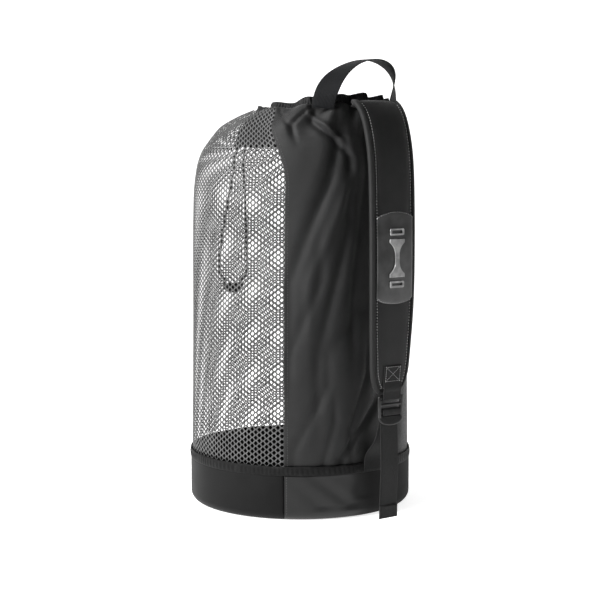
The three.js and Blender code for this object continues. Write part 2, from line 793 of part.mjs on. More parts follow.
// A half-moon on the loop's lowest point, standing off the net.
function cordPull() {
  const half = PULL_WIDTH / 2;
  const low = -PULL_HEIGHT;
  const outline = new THREE.Shape();
  outline.moveTo(-half, 0);
  outline.bezierCurveTo(-half, low * 0.9, -half * 0.4, low, 0, low);
  outline.bezierCurveTo(half * 0.4, low, half, low * 0.9, half, 0);
  const settings = { depth: PULL_THICK, bevelEnabled: false, curveSegments: 8 };
  const geometry = new THREE.ExtrudeGeometry(outline, settings);
  geometry.translate(0, 0, -PULL_THICK / 2);
  geometry.rotateX(Math.PI / 2);
  geometry.rotateZ(rad(180 - PULL_ANGLE));
  const stand = BODY_RADIUS + PULL_THICK / 2;
  const turn = rad(PULL_ANGLE);
  return geometry.translate(stand * Math.sin(turn), stand * Math.cos(turn), PULL_TOP_Z);
}

// Materials and the assembly
const COATED = { color: 0x161618, roughness: 0.38, metalness: 0 };
const NET = { color: 0x2b2c2d, roughness: 0.7, metalness: 0 };
const NYLON = { color: 0x2d2f30, roughness: 0.62, metalness: 0 };
const DARK_NYLON = { color: 0x15181f, roughness: 0.6, metalness: 0 };
const WEB = { color: 0x1d2023, roughness: 0.72, metalness: 0 };
const PLASTIC = { color: 0x101112, roughness: 0.35, metalness: 0 };
const GREY_PLASTIC = { color: 0x6b6c6b, roughness: 0.4, metalness: 0 };
const CORD = { color: 0x0c0d0f, roughness: 0.7, metalness: 0 };

const FRONT = [PANEL_HALF_ANGLE + SEAM_TURN, 360 - PANEL_HALF_ANGLE - SEAM_TURN, (BASE_COLUMNS * 3) / 4];
const BACK = [SEAM_TURN - PANEL_HALF_ANGLE, PANEL_HALF_ANGLE - SEAM_TURN, BASE_COLUMNS / 4];
const PIECES = [
  ["base_floor", baseFloor(), COATED],
  ["base_wall_front", baseWall(...FRONT), COATED],
  ["base_wall_back", baseWall(...BACK), COATED],
  ["base_binding", baseBinding(), DARK_NYLON],
  ["net_wall", netWall(), NET],
  ["back_panel", backPanel(), NYLON],
  ["mouth_casing", mouthCasing(), DARK_NYLON],
  ["haul_handle", haulHandle(), WEB],
  ["shoulder_pad", shoulderPad(), NYLON],
  ["pad_piping", padPiping(), DARK_NYLON],
  ["strap_patch", strapPatch(), COATED],
  ["patch_keeper", patchKeeper(), GREY_PLASTIC],
  ["pad_webbing", padWebbing(), WEB],
  ["ladder_lock", ladderLock(), PLASTIC],
  ["adjuster_webbing", adjusterWebbing(), WEB],
  ["draw_cord_left", drawCord(CORD_LEFT), CORD],
  ["draw_cord_right", drawCord(CORD_RIGHT), CORD],
  ["cord_pull", cordPull(), PLASTIC],
];

const bag = new THREE.Group();
for (const [name, geometry, look] of PIECES) {
  const mesh = new THREE.Mesh(geometry, new THREE.MeshStandardMaterial(look));
  mesh.name = name;
  bag.add(mesh);
}

export default bag;
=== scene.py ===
# Mesh dive gear bag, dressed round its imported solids. Metres, +Z up. +Y is the back with the panel and
# the strap, -Y the front with the draw cord.
import math

import bmesh
import bpy
from mathutils import Matrix, Vector


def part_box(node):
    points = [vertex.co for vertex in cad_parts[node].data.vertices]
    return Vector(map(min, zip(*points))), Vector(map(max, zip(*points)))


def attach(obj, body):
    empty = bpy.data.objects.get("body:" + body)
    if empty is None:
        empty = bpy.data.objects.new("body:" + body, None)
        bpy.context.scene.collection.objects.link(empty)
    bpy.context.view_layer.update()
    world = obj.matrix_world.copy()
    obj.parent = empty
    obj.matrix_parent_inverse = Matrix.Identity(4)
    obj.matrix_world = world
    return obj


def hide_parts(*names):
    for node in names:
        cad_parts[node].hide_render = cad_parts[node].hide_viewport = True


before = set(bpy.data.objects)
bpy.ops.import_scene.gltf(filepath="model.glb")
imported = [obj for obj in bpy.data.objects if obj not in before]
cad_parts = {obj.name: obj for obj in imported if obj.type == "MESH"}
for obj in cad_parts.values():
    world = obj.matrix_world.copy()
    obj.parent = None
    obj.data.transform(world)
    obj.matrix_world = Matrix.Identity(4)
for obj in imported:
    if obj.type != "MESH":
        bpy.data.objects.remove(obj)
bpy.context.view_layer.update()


# Camera
# It stands behind the bag and to its right side, a little below the mouth, and looks slightly down.
CAMERA_BEARING = math.radians(37)
CAMERA_REACH = 2.93
CAMERA_HEIGHT = 0.68
CAMERA_AIM = Vector((0, 0, 0.373))
CAMERA_LENS = 94.1
FILM_WIDTH = 36


def make_camera():
    data = bpy.data.cameras.new("camera")
    data.lens = CAMERA_LENS
    data.sensor_width = FILM_WIDTH
    camera = bpy.data.objects.new("camera", data)
    bpy.context.collection.objects.link(camera)
    bearing = Vector((math.sin(CAMERA_BEARING), math.cos(CAMERA_BEARING), 0))
    camera.location = bearing * CAMERA_REACH + Vector((0, 0, CAMERA_HEIGHT))
    camera.rotation_euler = (CAMERA_AIM - camera.location).to_track_quat("-Z", "Y").to_euler()
    bpy.context.scene.camera = camera


make_camera()


# Draw cord and pull
# One black braided cord, 5 mm thick, runs in the mouth casing. Its two ends come out at the front and
# meet in a half-moon pull of moulded rubber, so the bag is closed by drawing the loop.
CORD_DIAMETER = 0.005
CORD_STEPS = 112
CORD_SIDES = 12
PLAIT_TURN = 1400
PULL_ROUNDING = 0.0022
CORD_LEFT = [
    (-0.002, -0.0645, 0.7276), (0, -0.084, 0.731), (0.004, -0.111, 0.722), (0.009, -0.145, 0.702),
    (0.013, -0.171, 0.674), (0.015, -0.1895, 0.642), (0.016, -0.1965, 0.605), (0.021, -0.200, 0.574),
    (0.033, -0.2005, 0.518), (0.043, -0.199, 0.470), (0.048, -0.1982, 0.430), (0.043, -0.2005, 0.408),
    (0.035, -0.2036, 0.400), (0.030, -0.2054, 0.396), (0.0283, -0.2059, 0.3923),
]
CORD_RIGHT = [
    (-0.018, -0.0645, 0.7276), (-0.018, -0.084, 0.731), (-0.014, -0.112, 0.722), (-0.009, -0.146, 0.702),
    (-0.005, -0.172, 0.674), (-0.006, -0.1905, 0.642), (-0.011, -0.198, 0.605), (-0.0165, -0.2025, 0.570),
    (-0.019, -0.204, 0.510), (-0.0217, -0.204, 0.452), (-0.0225, -0.2042, 0.420), (-0.019, -0.2054, 0.404),
    (-0.012, -0.207, 0.398), (-0.0088, -0.2076, 0.3923),
]


class Field:
    """A shader value or vector that takes part in plain arithmetic."""

    def __init__(self, paint, socket):
        self.paint = paint
        self.socket = socket

    def math(self, operation, *others):
        values = dict(enumerate([self, *others]))
        return self.paint.node("ShaderNodeMath", {"operation": operation}, values)

    def flipped(self, operation, other):
        return self.paint.node("ShaderNodeMath", {"operation": operation}, {0: other, 1: self})

    def __add__(self, other):
        return self.math("ADD", other)

    def __radd__(self, other):
        return self.math("ADD", other)

    def __sub__(self, other):
        return self.math("SUBTRACT", other)

    def __rsub__(self, other):
        return self.flipped("SUBTRACT", other)

    def __mul__(self, other):
        return self.math("MULTIPLY", other)

    def __rmul__(self, other):
        return self.math("MULTIPLY", other)

    def __truediv__(self, other):
        return self.math("DIVIDE", other)

    def wave(self, pitch):
        """Ribs from -1 to 1, one in each pitch."""
        return (self * (math.tau / pitch)).math("SINE")

    def between(self, low, high):
        """0 below low, 1 above high, and smooth from one to the other."""
        values = {"Value": self, "From Min": low, "From Max": high}
        settings = {"interpolation_type": "SMOOTHSTEP"}
        return self.paint.node("ShaderNodeMapRange", settings, values)


class Paint:
    """A node material. Constants go straight on its shader, and Fields are linked to it."""

    def __init__(self, name, **constants):
        self.material = bpy.data.materials.new(name)
        self.material.use_nodes = True
        self.tree = self.material.node_tree
        self.shader = self.tree.nodes["Principled BSDF"]
        for key, value in constants.items():
            self.shader.inputs[key.replace("_", " ").title().replace("Ior", "IOR")].default_value = value

    def node(self, kind, settings=None, values=None, out=0):
        made = self.tree.nodes.new(kind)
        for key, value in (settings or {}).items():
            setattr(made, key, value)
        for key, value in (values or {}).items():
            if isinstance(value, Field):
                self.tree.links.new(value.socket, made.inputs[key])
            else:
                made.inputs[key].default_value = value
        return Field(self, made.outputs[out])

    def place(self):
        """The piece's own coordinates, in metres."""
        return self.node("ShaderNodeTexCoord", out="Object")

    def cloth(self):
        """Metres across and along the cloth, as two Fields."""
        spot = self.node("ShaderNodeUVMap", {"uv_map": "UVMap"})
        parts = self.node("ShaderNodeSeparateXYZ", values={0: spot})
        return parts, Field(self, parts.socket.node.outputs[1])

    def noise(self, scale, detail=3, rough=0.5, at=None):
        values = {"Scale": scale, "Detail": detail, "Roughness": rough, "Vector": at or self.place()}
        return self.node("ShaderNodeTexNoise", values=values)

    def mix(self, low, high, share):
        values = {"Factor": share, 6: low, 7: high}
        return self.node("ShaderNodeMix", {"data_type": "RGBA"}, values, out=2)

    def link(self, name, field):
        self.tree.links.new(field.socket, self.shader.inputs[name])

    def colours(self, low, high, share):
        self.link("Base Color", self.mix(low, high, share))

    def bump(self, height, distance, strength=1.0):
        values = {"Height": height, "Distance": distance, "Strength": strength}
        self.link("Normal", self.node("ShaderNodeBump", values=values))


def grey(value):
    """A dark neutral colour from its sRGB value out of 255."""
    linear = (value / 255) ** 2.2
    return (linear, linear, linear, 1)


def navy(value):
    """A blue-black of the same lightness."""
    linear = (value / 255) ** 2.2
    return (linear * 0.65, linear, linear * 2.1, 1)


def braid_paint():
    paint = Paint("cord_braid", roughness=0.62, specular_ior_level=0.4)
    across, along = paint.cloth()
    turn = (along * PLAIT_TURN + across * 6.2832).math("SINE")
    back = (along * PLAIT_TURN - across * 6.2832).math("SINE")
    plait = turn.math("MAXIMUM", back)
    paint.colours(grey(8), grey(30), plait.between(-0.2, 1))
    paint.bump(plait, 0.0005)
    return paint.material


def finish_piece(made, replaces):
    """Puts a finished piece on the one body and hides the solids that it stands for."""
    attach(made, "root")
    if replaces:
        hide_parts(*replaces)
    return made


def curve_points(points, count):
    """Places along a smooth line through the points, evenly by segment, with their directions."""
    ends = [points[0] * 2 - points[1], *points, points[-1] * 2 - points[-2]]
    made = []
    for k in range(count + 1):
        at = k / count * (len(points) - 1)
        i = min(int(at), len(points) - 2)
        t = at - i
        a, b, c, d = ends[i:i + 4]
        place = 0.5 * (2 * b + (c - a) * t + (2 * a - 5 * b + 4 * c - d) * t**2
                       + (3 * b - a - 3 * c + d) * t**3)
        slope = 0.5 * ((c - a) + 2 * (2 * a - 5 * b + 4 * c - d) * t + 3 * (3 * b - a - 3 * c + d) * t**2)
        made.append((place, slope.normalized()))
    return made


def mesh_piece(name, bm, paint, smooth=True):
    """Turns a bmesh into a linked object with one material."""
    mesh = bpy.data.meshes.new(name)
    bm.to_mesh(mesh)
    bm.free()
    mesh.materials.append(paint)
    mesh.polygons.foreach_set("use_smooth", [smooth] * len(mesh.polygons))
    made = bpy.data.objects.new(name, mesh)
    bpy.context.collection.objects.link(made)
    return made


def swept(name, line, ring, paint, turns=False):
    """A closed body that carries a ring of (side, lift) places along a line of (place, side, lift)."""
    bm = bmesh.new()
    uv = bm.loops.layers.uv.new("UVMap")
    rows = []
    run = [0.0]
    for k, (place, side, lift) in enumerate(line):
        rows.append([bm.verts.new(place + side * s + lift * h) for s, h in ring])
        if k:
            run.append(run[-1] + (place - line[k - 1][0]).length)
    count = len(ring)
    for k in range(len(rows) - 1):
        for i in range(count):
            j = (i + 1) % count
            face = bm.faces.new([rows[k][i], rows[k][j], rows[k + 1][j], rows[k + 1][i]])
            near, far = (i / count, (i + 1) / count) if turns else (ring[i][0], ring[j][0])
            spots = [(near, run[k]), (far, run[k]), (far, run[k + 1]), (near, run[k + 1])]
            for loop, spot in zip(face.loops, spots):
                loop[uv].uv = spot
    bm.faces.new(rows[0])
    bm.faces.new(rows[-1])
    bmesh.ops.recalc_face_normals(bm, faces=bm.faces)
    return mesh_piece(name, bm, paint)


def make_pull():
    """The half-moon of moulded rubber: the solid with its edges rounded."""
    paint = Paint("pull_rubber", roughness=0.4, specular_ior_level=0.5)
    grain = paint.noise(500, 2)
    paint.colours(grey(10), grey(34), grain.between(0.3, 0.8))
    paint.bump(grain, 0.0004, 0.4)
    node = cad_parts["cord_pull"]
    bm = bmesh.new()
    bm.from_mesh(node.data)
    bmesh.ops.remove_doubles(bm, verts=bm.verts, dist=1e-5)
    edges = [e for e in bm.edges if e.calc_face_angle(0) > 0.9]
    bmesh.ops.bevel(bm, geom=edges, offset=PULL_ROUNDING, segments=3, profile=0.5, affect="EDGES")
    return finish_piece(mesh_piece("cord_pull_body", bm, paint.material), ["cord_pull"])


def make_cord(name, route, paint):
    points = [Vector(p) for p in route]
    line = []
    for place, slope in curve_points(points, CORD_STEPS):
        side = slope.cross(Vector((0.3, 0.2, 1))).normalized()
        line.append((place, side, slope.cross(side)))
    radius = CORD_DIAMETER / 2
    turns = [math.tau * k / CORD_SIDES for k in range(CORD_SIDES)]
    ring = [(radius * math.cos(turn), radius * math.sin(turn)) for turn in turns]
    cord = finish_piece(swept(name + "_braid", line, ring, paint, turns=True), [name])
    path = [place for place, _, _ in line]
    length = sum((b - a).length for a, b in zip(path, path[1:]))


def make_cords():
    paint = braid_paint()
    pull = make_pull()
    make_cord("draw_cord_left", CORD_LEFT, paint)
    make_cord("draw_cord_right", CORD_RIGHT, paint)


make_cords()


# Body surfaces
# The sack is a straight round tube that closes in a dome toward the gathered mouth, which leans
# toward the back. Net, panel and casing all lie on it.
SEAM_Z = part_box("net_wall")[0].z
MOUTH_RISE = 0.634
MOUTH_Z = SEAM_Z + MOUTH_RISE
BODY_RADIUS = 0.203
MOUTH_LEAN = Vector((-0.010, 0.058, 0))
MOUTH_TILT = 0.008
RUFFLES = 12
RUFFLE_DEPTH = 0.014
RUFFLE_DROP = 0.005
PANEL_HALF = math.radians(45)
PANEL_FLARE = math.radians(35)
# The panel widens from the last whole cell of the net's solid, whose cells end at CELLS_TOP.
CELLS_TOP = 0.86
CELL_ROWS = 15
FLARE_START = CELLS_TOP * (CELL_ROWS - 2) / CELL_ROWS
FLARE_CURVE = 2.2
TABLE_STEPS = 600
# Rows of (along, height, radius, lean, ruffle), as shares of the body's own measures.
BODY_SECTIONS = [
    (0, 0, 1, 0, 0),
    (0.36, 0.37, 0.988, 0, 0),
    (0.716, 0.737, 0.983, 0.03, 0),
    (0.804, 0.827, 0.965, 0.09, 0),
    (0.85, 0.873, 0.928, 0.13, 0.04),
    (0.882, 0.904, 0.882, 0.21, 0.15),
    (0.902, 0.922, 0.852, 0.27, 0.3),
    (0.932, 0.95, 0.81, 0.44, 0.6),
    (0.971, 0.981, 0.721, 0.78, 0.9),
    (1, 1, 0.632, 1, 1),
]
# A fold: where it starts and ends as (angle, along), its depth in metres and its width in degrees.
# An angle is a share of half the cloth's, and along runs from 0 at the seam to 1 at the mouth.
PANEL_FOLDS = [
    ((0.35, 0.02), (-0.14, 0.17), 0.006, 2.6),
    ((0.98, 0.6), (0.6, 0.84), -0.003, 4),
    ((0.85, 0.6), (0.5, 0.77), 0.003, 3.5),
    ((0.8, 0.22), (0.1, 0.42), 0.003, 5),
    ((-0.85, 0.25), (-0.4, 0.6), 0.003, 5),
    ((-0.5, 0.05), (-0.9, 0.3), 0.0035, 4),
]


def smooth_table(table):
    """Reads rows of (along, values) as a smooth curve of each value, in TABLE_STEPS even steps."""
    rows = []
    for step in range(TABLE_STEPS + 1):
        at = step / TABLE_STEPS
        i = max(k for k in range(len(table) - 1) if table[k][0] <= at)
        a, b = table[i], table[i + 1]
        width = b[0] - a[0]
        t = (at - a[0]) / width

        def slope(k, column):
            low, high = table[max(0, k - 1)], table[min(len(table) - 1, k + 1)]
            return (high[column] - low[column]) / (high[0] - low[0]) * width

        row = []
        for column in range(1, len(a)):
            rise = b[column] - a[column]
            start, stop = slope(i, column), slope(i + 1, column)
            row.append(a[column] + t * start + t * t * (3 * rise - 2 * start - stop)
                       + t**3 * (start + stop - 2 * rise))
        rows.append(row)

    def read(along):
        at = min(max(along, 0), 1) * TABLE_STEPS
        low = min(int(at), TABLE_STEPS - 1)
        return [p + (q - p) * (at - low) for p, q in zip(rows[low], rows[low + 1])]

    return read


body_row = smooth_table(BODY_SECTIONS)


def ruffle(angle):
    """Uneven gathers round the mouth: 0 on a hump, 1 in a fold."""
    phase = RUFFLES * angle + 1.1 * math.sin(2 * angle) + 0.8 * math.sin(angle)
    return (1 - math.cos(phase)) / 2


def panel_half(along):
    """Half the panel's angle, which widens near the mouth."""
    share = min(max((along - FLARE_START) / (1 - FLARE_START), 0), 1)
    return PANEL_HALF + PANEL_FLARE * share ** FLARE_CURVE


def fold_depth(folds, half, angle, along, edge=1.0, ends=6):
    """How far the soft folds of a table press the cloth in. They fade at its edges and their own ends."""
    total = 0
    for (start, low), (stop, high), depth, wide in folds:
        t = (along - low) / (high - low)
        share = min(max(t, 0), 1)
        middle = (start + (stop - start) * share) * half
        across = math.degrees(angle - middle) / wide
        total += depth * math.exp(-across * across - ((t - share) * ends) ** 2)
    return total * math.cos(angle / half * math.pi / 2) ** edge if abs(angle) < half else 0


def body(angle, along, inward=0.0):
    """The sack's outer surface, angle in radians from the back toward +X."""
    height, radius, lean, gather = body_row(along)
    fold = gather * ruffle(angle)
    reach = radius * BODY_RADIUS - fold * RUFFLE_DEPTH - inward
    out = Vector((math.sin(angle), math.cos(angle), 0))
    z = SEAM_Z + height * MOUTH_RISE + lean * MOUTH_TILT * math.cos(angle) - fold * RUFFLE_DROP
    return lean * MOUTH_LEAN + reach * out + Vector((0, 0, z))


def sheet(name, grid, place, size, thick, paint, closed=False):
    """A thin cloth over place(u, v), with u and v from 0 to 1, thickened inward. size is in metres."""
    bm = bmesh.new()
    bmesh.ops.create_grid(bm, x_segments=grid[0], y_segments=grid[1], size=1)
    uv = bm.loops.layers.uv.new("UVMap")
    for face in bm.faces:
        for loop in face.loops:
            loop[uv].uv = ((loop.vert.co.x + 1) / 2 * size[0], (loop.vert.co.y + 1) / 2 * size[1])
    for vert in bm.verts:
        vert.co = place((vert.co.x + 1) / 2, (vert.co.y + 1) / 2)
    if closed:
        bmesh.ops.remove_doubles(bm, verts=bm.verts, dist=1e-6)
    return thickened(mesh_piece(name, bm, paint), thick)


def thickened(made, thick):
    """Turns the faces outward, away from the bag's axis, and adds the cloth's thickness inside."""
    mesh = made.data
    facing = sum(p.normal.dot(Vector((p.center.x, p.center.y, 0))) * p.area for p in mesh.polygons)
    if facing < 0:
        mesh.flip_normals()
    solid = made.modifiers.new("thickness", "SOLIDIFY")
    solid.thickness = thick
    solid.offset = -1
    return made


# Net wall
# Black knitted polyester net with staggered six-sided cells, about 10 mm tall. It covers three
# quarters of the body, less near the mouth, and is sewn to the tape, the panel and the casing.
NET_PITCH = 0.0104
NET_COLUMN = 0.0069
NET_CORNER = 0.29
NET_HOLE = (0.0038, 0.0040)
NET_THICK = 0.0007
NET_LENGTH = 0.673
NET_RIM = 0.0005
NET_PIECES = 3
NET_CLEARANCE = 0.0006


def net_paint():
    paint = Paint("net_knit", roughness=0.6, specular_ior_level=0.4)
    shade = paint.noise(900, 2)
    patch = paint.noise(14, 2)
    light = (shade * 0.6 + patch * 0.5).between(0.3, 0.85)
    paint.colours(grey(50), grey(98), light)
    paint.bump(shade, 0.0004, 0.6)
    return paint.material


def net_point(column, row, columns):
    """A corner of the six-sided cells in the flat cloth, in metres across and up."""
    corner_side = 1 if (column + row) % 2 == 0 else -1
    shift = 0 if column in (0, columns) else corner_side * NET_COLUMN * NET_CORNER
    return column * NET_COLUMN + shift, row * NET_PITCH / 2


def net_piece(name, start, stop, paint):
    """One length of net between two angles, cut from a flat sheet of cells and laid on the body."""
    columns = round((stop - start) * BODY_RADIUS / NET_COLUMN)
    rows = round(NET_LENGTH / NET_PITCH) * 2
    bm = bmesh.new()
    corners = {}

    def corner(column, row):
        if (column, row) not in corners:
            across, up = net_point(column, row, columns)
            corners[column, row] = bm.verts.new((across, up, 0))
        return corners[column, row]

    for column in range(columns):
        first = column % 2
        for row in range(first, rows - 1, 2):
            left = [corner(column, row + k) for k in (2, 1, 0)]
            right = [corner(column + 1, row + k) for k in (0, 1, 2)]
            bm.faces.new(left + right)
    cells = bm.faces[:]
    for face in cells:
        face.normal_update()
    bmesh.ops.inset_individual(bm, faces=cells, thickness=NET_RIM)
    for face in cells:
        middle = face.calc_center_median()
        for vert in face.verts:
            off = vert.co - middle
            stretch = math.hypot(off.x / NET_HOLE[0], off.y / NET_HOLE[1])
            vert.co = middle + off / stretch
    bmesh.ops.delete(bm, geom=cells, context="FACES")
    wide = columns * NET_COLUMN
    for vert in bm.verts:
        angle = start + (stop - start) * vert.co.x / wide
        along = min(vert.co.y / (rows / 2 * NET_PITCH), 1)
        spread = (math.pi - panel_half(along)) / (math.pi - PANEL_HALF)
        vert.co = body(math.pi + (angle - math.pi) * spread, along)
    return thickened(mesh_piece(name, bm, paint), NET_THICK)


def make_net():
    paint = net_paint()
    first = PANEL_HALF + NET_CLEARANCE / BODY_RADIUS
    whole = math.tau - 2 * first
    for k in range(NET_PIECES):
        start = first + whole * k / NET_PIECES
        made = net_piece(f"net_{k + 1}", start, start + whole / NET_PIECES, paint)
        finish_piece(made, ["net_wall"] if k == 0 else [])


make_net()


# Back panel
# A quarter of the body in charcoal woven nylon, sewn down both edges to the net. It hangs in soft
# diagonal folds, with one sharp crease that runs up from the base seam to the strap, and is pleated
# at the mouth, where it widens.
PANEL_THICK = 0.0014
PANEL_GRID = (140, 210)
FINE_FOLDS = [
    ((0.95, 0.5), (0.33, 0.88), 0.0055, 3.4),
    ((0.72, 0.5), (0.2, 0.8), -0.004, 3),
    ((0.62, 0.3), (0.25, 0.66), 0.005, 3.2),
    ((0.95, 0.3), (0.6, 0.5), 0.004, 3),
    ((0.2, 0.45), (0.02, 0.8), 0.005, 3),
    ((0.9, 0.04), (0.5, 0.22), 0.0045, 3),
    ((0.55, 0.01), (0.42, 0.12), 0.0035, 2.2),
    ((0.22, 0.1), (0.0, 0.25), 0.004, 1.8),
    ((0.96, 0.985), (0.8, 0.925), 0.005, 1.8),
    ((0.78, 0.93), (0.6, 0.99), 0.006, 1.8),
    ((0.62, 0.97), (0.3, 0.89), -0.005, 2.4),
    ((0.58, 0.94), (0.22, 0.84), 0.006, 3),
]


def nylon_paint(name, dark, light, weave=0.0011, sheen=0.1):
    paint = Paint(name, roughness=0.6, specular_ior_level=0.35, sheen_weight=sheen, sheen_roughness=0.4)
    across, along = paint.cloth()
    cell = across.wave(weave) * along.wave(weave)
    thread = paint.noise(1500, 2)
    worn = paint.noise(9, 4)
    light_share = (cell * 0.12 + thread * 0.55 + worn * 0.4).between(0.25, 0.8)
    paint.colours(dark, light, light_share)
    paint.link("Roughness", paint.noise(40, 2) * 0.15 + 0.52)
    paint.bump(cell + thread * 0.8, 0.00012, 0.7)
    return paint.material


def panel_press(angle, along):
    press = fold_depth(PANEL_FOLDS, PANEL_HALF, angle, along)
    return press + fold_depth(FINE_FOLDS, panel_half(along), angle, along, edge=0.35, ends=1.8)


def make_panel():
    paint = nylon_paint("panel_nylon", grey(14), grey(36), sheen=0.12)

    def place(u, v):
        angle = (2 * u - 1) * panel_half(v)
        return body(angle, v, panel_press(angle, v))

    size = (2 * PANEL_HALF * BODY_RADIUS, NET_LENGTH)
    made = sheet("back_panel_cloth", PANEL_GRID, place, size, PANEL_THICK, paint)
    finish_piece(made, ["back_panel"])


make_panel()


# Base
# A stiff tub of glossy black coated cloth: a flat disc, and a wall in two lengths whose lower edge
# turns in round the disc. The front length is smooth, and the back one is pressed into soft dents.
BASE_RADIUS = 0.206
BASE_HEIGHT = 0.082
BASE_CORNER = 0.016
BASE_CORNER_SHARE = 0.4
BASE_THICK = 0.0022
BASE_DISC_THICK = 0.0024
BASE_DISC_RIM = 0.006
BASE_CLEARANCE = 0.0004
BASE_CLOTH = 0.107
BASE_GROOVE = 0.0012
BASE_DENTS = [
    ((0.95, 0.95), (0.6, 0.5), 0.0022, 5.5),
    ((0.7, 1), (0.25, 0.5), 0.0022, 6),
    ((0.35, 0.95), (0.1, 0.62), 0.0014, 7),
    ((-0.3, 0.95), (-0.7, 0.6), 0.002, 7),
]


def coated_paint(name, rough, level):
    """Coated cloth, scuffed duller toward the side away from the panel's +X edge."""
    paint = Paint(name, specular_ior_level=level)
    grain = paint.noise(1100, 2)
    cloud = paint.noise(18, 3)
    side = paint.node("ShaderNodeSeparateXYZ", values={0: paint.place()})
    dull = (0.05 - side).between(0, 0.06)
    paint.colours(grey(10), grey(20), cloud.between(0.3, 0.75))
    paint.link("Roughness", cloud * 0.16 + (rough - 0.08) + dull * (0.85 - rough))
    paint.bump(grain * 0.4 + cloud, 0.0006, 0.35)
    return paint.material


def base_profile(share):
    """Radius and height of the wall's outer side, from beside the floor to its top edge."""
    turn = min(share / BASE_CORNER_SHARE, 1) * math.pi / 2
    up = max(share - BASE_CORNER_SHARE, 0) / (1 - BASE_CORNER_SHARE)
    radius = BASE_RADIUS - BASE_CORNER + BASE_CORNER * math.sin(turn)
    return radius, BASE_CORNER * (1 - math.cos(turn)) + (BASE_HEIGHT - BASE_CORNER) * up


def base_wall(name, start, stop, columns, dents, paint):
    half = (stop - start) / 2
    middle = (start + stop) / 2

    def place(u, v):
        angle = start + (stop - start) * u
        radius, z = base_profile(v)
        press = fold_depth(dents, half, angle - middle, v)
        edge = min(u, 1 - u) * (stop - start) * BASE_RADIUS
        radius -= press + BASE_GROOVE * math.exp(-((edge / 0.002) ** 2))
        return Vector((radius * math.sin(angle), radius * math.cos(angle), z))

    return sheet(name, (columns, 40), place, (half * 2 * BASE_RADIUS, BASE_CLOTH), BASE_THICK, paint)


def make_base():
    smooth = coated_paint("base_coating", 0.6, 0.16)
    glossy = coated_paint("base_gloss", 0.33, 0.34)
    edge = PANEL_HALF + BASE_CLEARANCE
    front = base_wall("base_front", edge, math.tau - edge, 220, [], smooth)
    finish_piece(front, ["base_wall_front"])
    edge = PANEL_HALF - BASE_CLEARANCE
    back = base_wall("base_back", -edge, edge, 150, BASE_DENTS, glossy)
    finish_piece(back, ["base_wall_back"])
    bm = bmesh.new()
    reach = BASE_RADIUS - BASE_CORNER
    bmesh.ops.create_circle(bm, cap_ends=True, segments=96, radius=reach)
    bmesh.ops.inset_region(bm, faces=bm.faces[:], thickness=BASE_DISC_RIM)
    floor = mesh_piece("base_disc", bm, smooth, smooth=False)
    solid = floor.modifiers.new("thickness", "SOLIDIFY")
    solid.thickness = BASE_DISC_THICK
    solid.offset = 1
    finish_piece(floor, ["base_floor"])


make_base()


# Seam tape
# A puckered nylon tape is folded over the joint of base and body and sewn through.
TAPE_LAP = 0.0012
TAPE_THICK = 0.0026
TAPE_STAND = 0.0004
TAPE_CROWN = 0.0012
TAPE_UNEVEN = 0.0006
TAPE_PUCKER = 0.0009
TAPE_PUCKERS = 150
TAPE_RIB = 0.0022


def tape_paint():
    paint = Paint("tape_nylon", roughness=0.6, specular_ior_level=0.2)
    across, _ = paint.cloth()
    rib = across.wave(TAPE_RIB)
    cloud = paint.noise(60, 3)
    paint.colours(grey(4), grey(28), (cloud + rib * 0.05).between(0.5, 0.8))
    paint.bump(rib * 0.3 + cloud * 2, 0.0005, 0.8)
    return paint.material


def make_tape():
    low = BASE_HEIGHT - TAPE_LAP
    tall = SEAM_Z + TAPE_LAP - low

    def place(u, v):
        angle = math.tau * u
        pucker = 0.5 + 0.5 * math.sin(TAPE_PUCKERS * angle + 3 * math.sin(7 * angle))
        crown = math.sin(math.pi * v)
        uneven = TAPE_UNEVEN * math.sin(11 * angle + 1) * math.sin(23 * angle)
        radius = BASE_RADIUS + TAPE_STAND + TAPE_CROWN * crown - TAPE_PUCKER * pucker * crown
        return Vector((radius * math.sin(angle), radius * math.cos(angle), low + tall * v + uneven * v))

    size = (math.tau * BASE_RADIUS, tall)
    made = sheet("seam_tape", (900, 8), place, size, TAPE_THICK, tape_paint(), closed=True)
    finish_piece(made, ["base_binding"])


make_tape()


# Mouth casing
# A band of fine black nylon inside the net holds the draw cord. It is gathered with the net in
# uneven ruffles and stands a little above it.
CASING_DROP = 0.067
CASING_STAND = 0.016
CASING_THICK = 0.0016
CASING_CLOTH = (0.84, 0.1)
CASING_GATHER = 0.0016
CASING_RIPPLE = 0.0012
# Rows of (along, height, radius, lean, ruffle). Below the mouth the height is a share of the drop.
CASING_SECTIONS = [
    (0, -1, 0.727, 0.62, 0.35),
    (0.33, -0.6, 0.699, 0.66, 0.6),
    (0.63, -0.25, 0.637, 0.8, 0.9),
    (0.84, 0, 0.606, 1, 1),
    (1, 1, 0.59, 1, 1),
]


